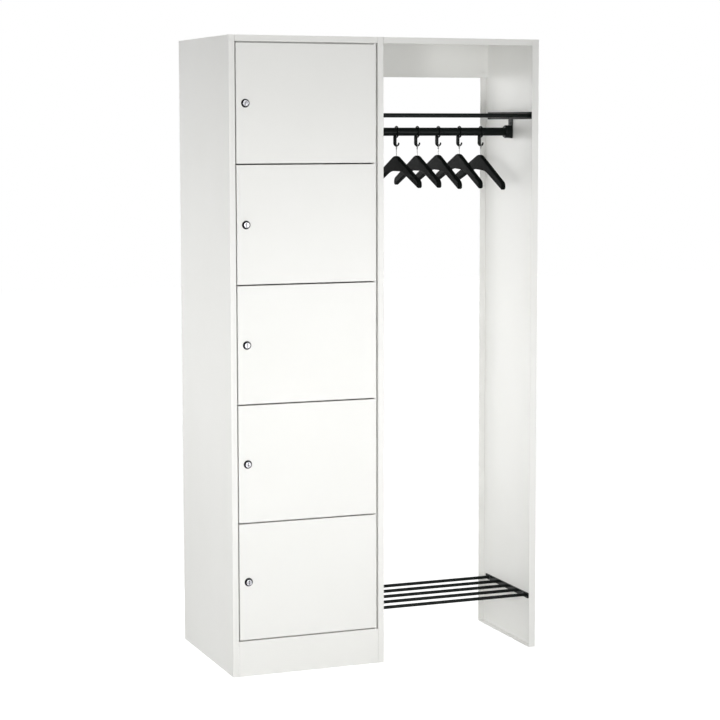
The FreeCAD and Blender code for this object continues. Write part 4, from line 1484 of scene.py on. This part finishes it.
# Six in front, then one on the left, two behind the bay, and one behind, above and on the right
SOFT_BOXES = (
    SoftBox("front_left_box", place=(-2.571, -3.064, 1.45), target=(0.0, 0.0, 1.1),
            size=(1.0, 1.0), power=36.8),
    SoftBox("left_middle_box", place=(-2.571, -3.064, 1.0), target=(0.0, 0.0, 0.8),
            size=(1.0, 1.0), power=1.1, spread=60.0),
    SoftBox("left_low_box", place=(-2.571, -3.064, 0.8), target=(0.0, 0.0, 0.4),
            size=(1.0, 1.0), power=2.4, spread=50.0),
    SoftBox("front_strip", place=(-0.65, -3.3, 1.0), target=(0.1, 0.0, 1.0),
            size=(0.35, 1.8), power=14.2),
    SoftBox("front_high_strip", place=(-0.65, -3.3, 1.9), target=(0.1, 0.0, 1.2),
            size=(0.35, 1.0), power=9.8),
    SoftBox("front_right_box", place=(1.026, -2.819, 0.8), target=(0.0, 0.0, 0.8),
            size=(1.0, 1.0), power=6.5, spread=90.0),
    SoftBox("left_box", place=(-2.898, 0.776, 1.0), target=(0.0, 0.0, 1.0),
            size=(1.0, 1.0), power=7.0, spread=80.0),
    SoftBox("bay_box", place=(0.1, 1.6, 1.0), target=(0.48, -0.05, 1.0),
            size=(0.6, 1.9), power=0.5, spread=40.0),
    SoftBox("bay_strip", place=(-0.37, 0.95, 0.95), target=(0.48, -0.05, 0.95),
            size=(0.3, 1.8), power=3.5, spread=150.0),
    SoftBox("back_box", place=(-0.2, 3.2, 1.1), target=(-0.2, 0.25, 1.0),
            size=(1.2, 2.0), power=3.8, spread=60.0),
    SoftBox("top_box", place=(0.0, 0.55, 3.2), target=(0.0, 0.3, 1.85),
            size=(1.5, 1.5), power=9.0, spread=100.0),
    SoftBox("right_box", place=(3.0, 0.3, 1.0), target=(0.485, 0.0, 1.0),
            size=(1.0, 2.0), power=6.6, spread=60.0),
)


@dataclass
class Camera:
    """Camera of the product view, fitted to the edges of the unit."""

    place: Point = (-2.26992, -5.90744, 1.59532)
    yaw: float = 0.3852
    pitch: float = 0.1002
    focal_pixels: float = 2083.637
    frame_pixels: float = 720.0
    sensor: float = 36.0
    far: float = 60.0
    shift: tuple[float, float] = (-0.0506, -0.035)

    def build(self) -> None:
        """Sets up the camera and the plain view."""
        data = bpy.data.cameras.new("product_camera")
        data.sensor_width = self.sensor
        data.lens = self.focal_pixels * self.sensor / self.frame_pixels
        data.shift_x, data.shift_y = self.shift
        data.clip_end = self.far
        holder = bpy.data.objects.new("product_camera", data)
        holder.location = self.place
        holder.rotation_euler = (math.pi / 2 - self.pitch, 0.0, -self.yaw)
        scene = bpy.context.scene
        scene.collection.objects.link(holder)
        scene.camera = holder
        scene.view_settings.view_transform = "Standard"
        LOG.info("camera: lens %.1f mm", data.lens)


def main() -> None:
    """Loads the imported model, builds every sub-assembly in order and sets up the view."""
    logging.basicConfig(level=logging.INFO, format="%(name)s: %(message)s")
    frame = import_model()
    shop = Workshop(frame, Paint())
    Carcass().build(shop)
    DoorColumn().build(shop)
    TubeRack("hat_shelf", level=1.625, tube_radius=0.006).build(shop)
    TubeRack("shoe_rack", level=0.150, tube_radius=0.005).build(shop)
    RackScrews().build(shop)
    CoatRail().build(shop)
    Hangers().build(shop)
    Stage().build()
    for light in SOFT_BOXES:
        light.build()
    Camera().build()


if __name__ == "__main__":
    main()
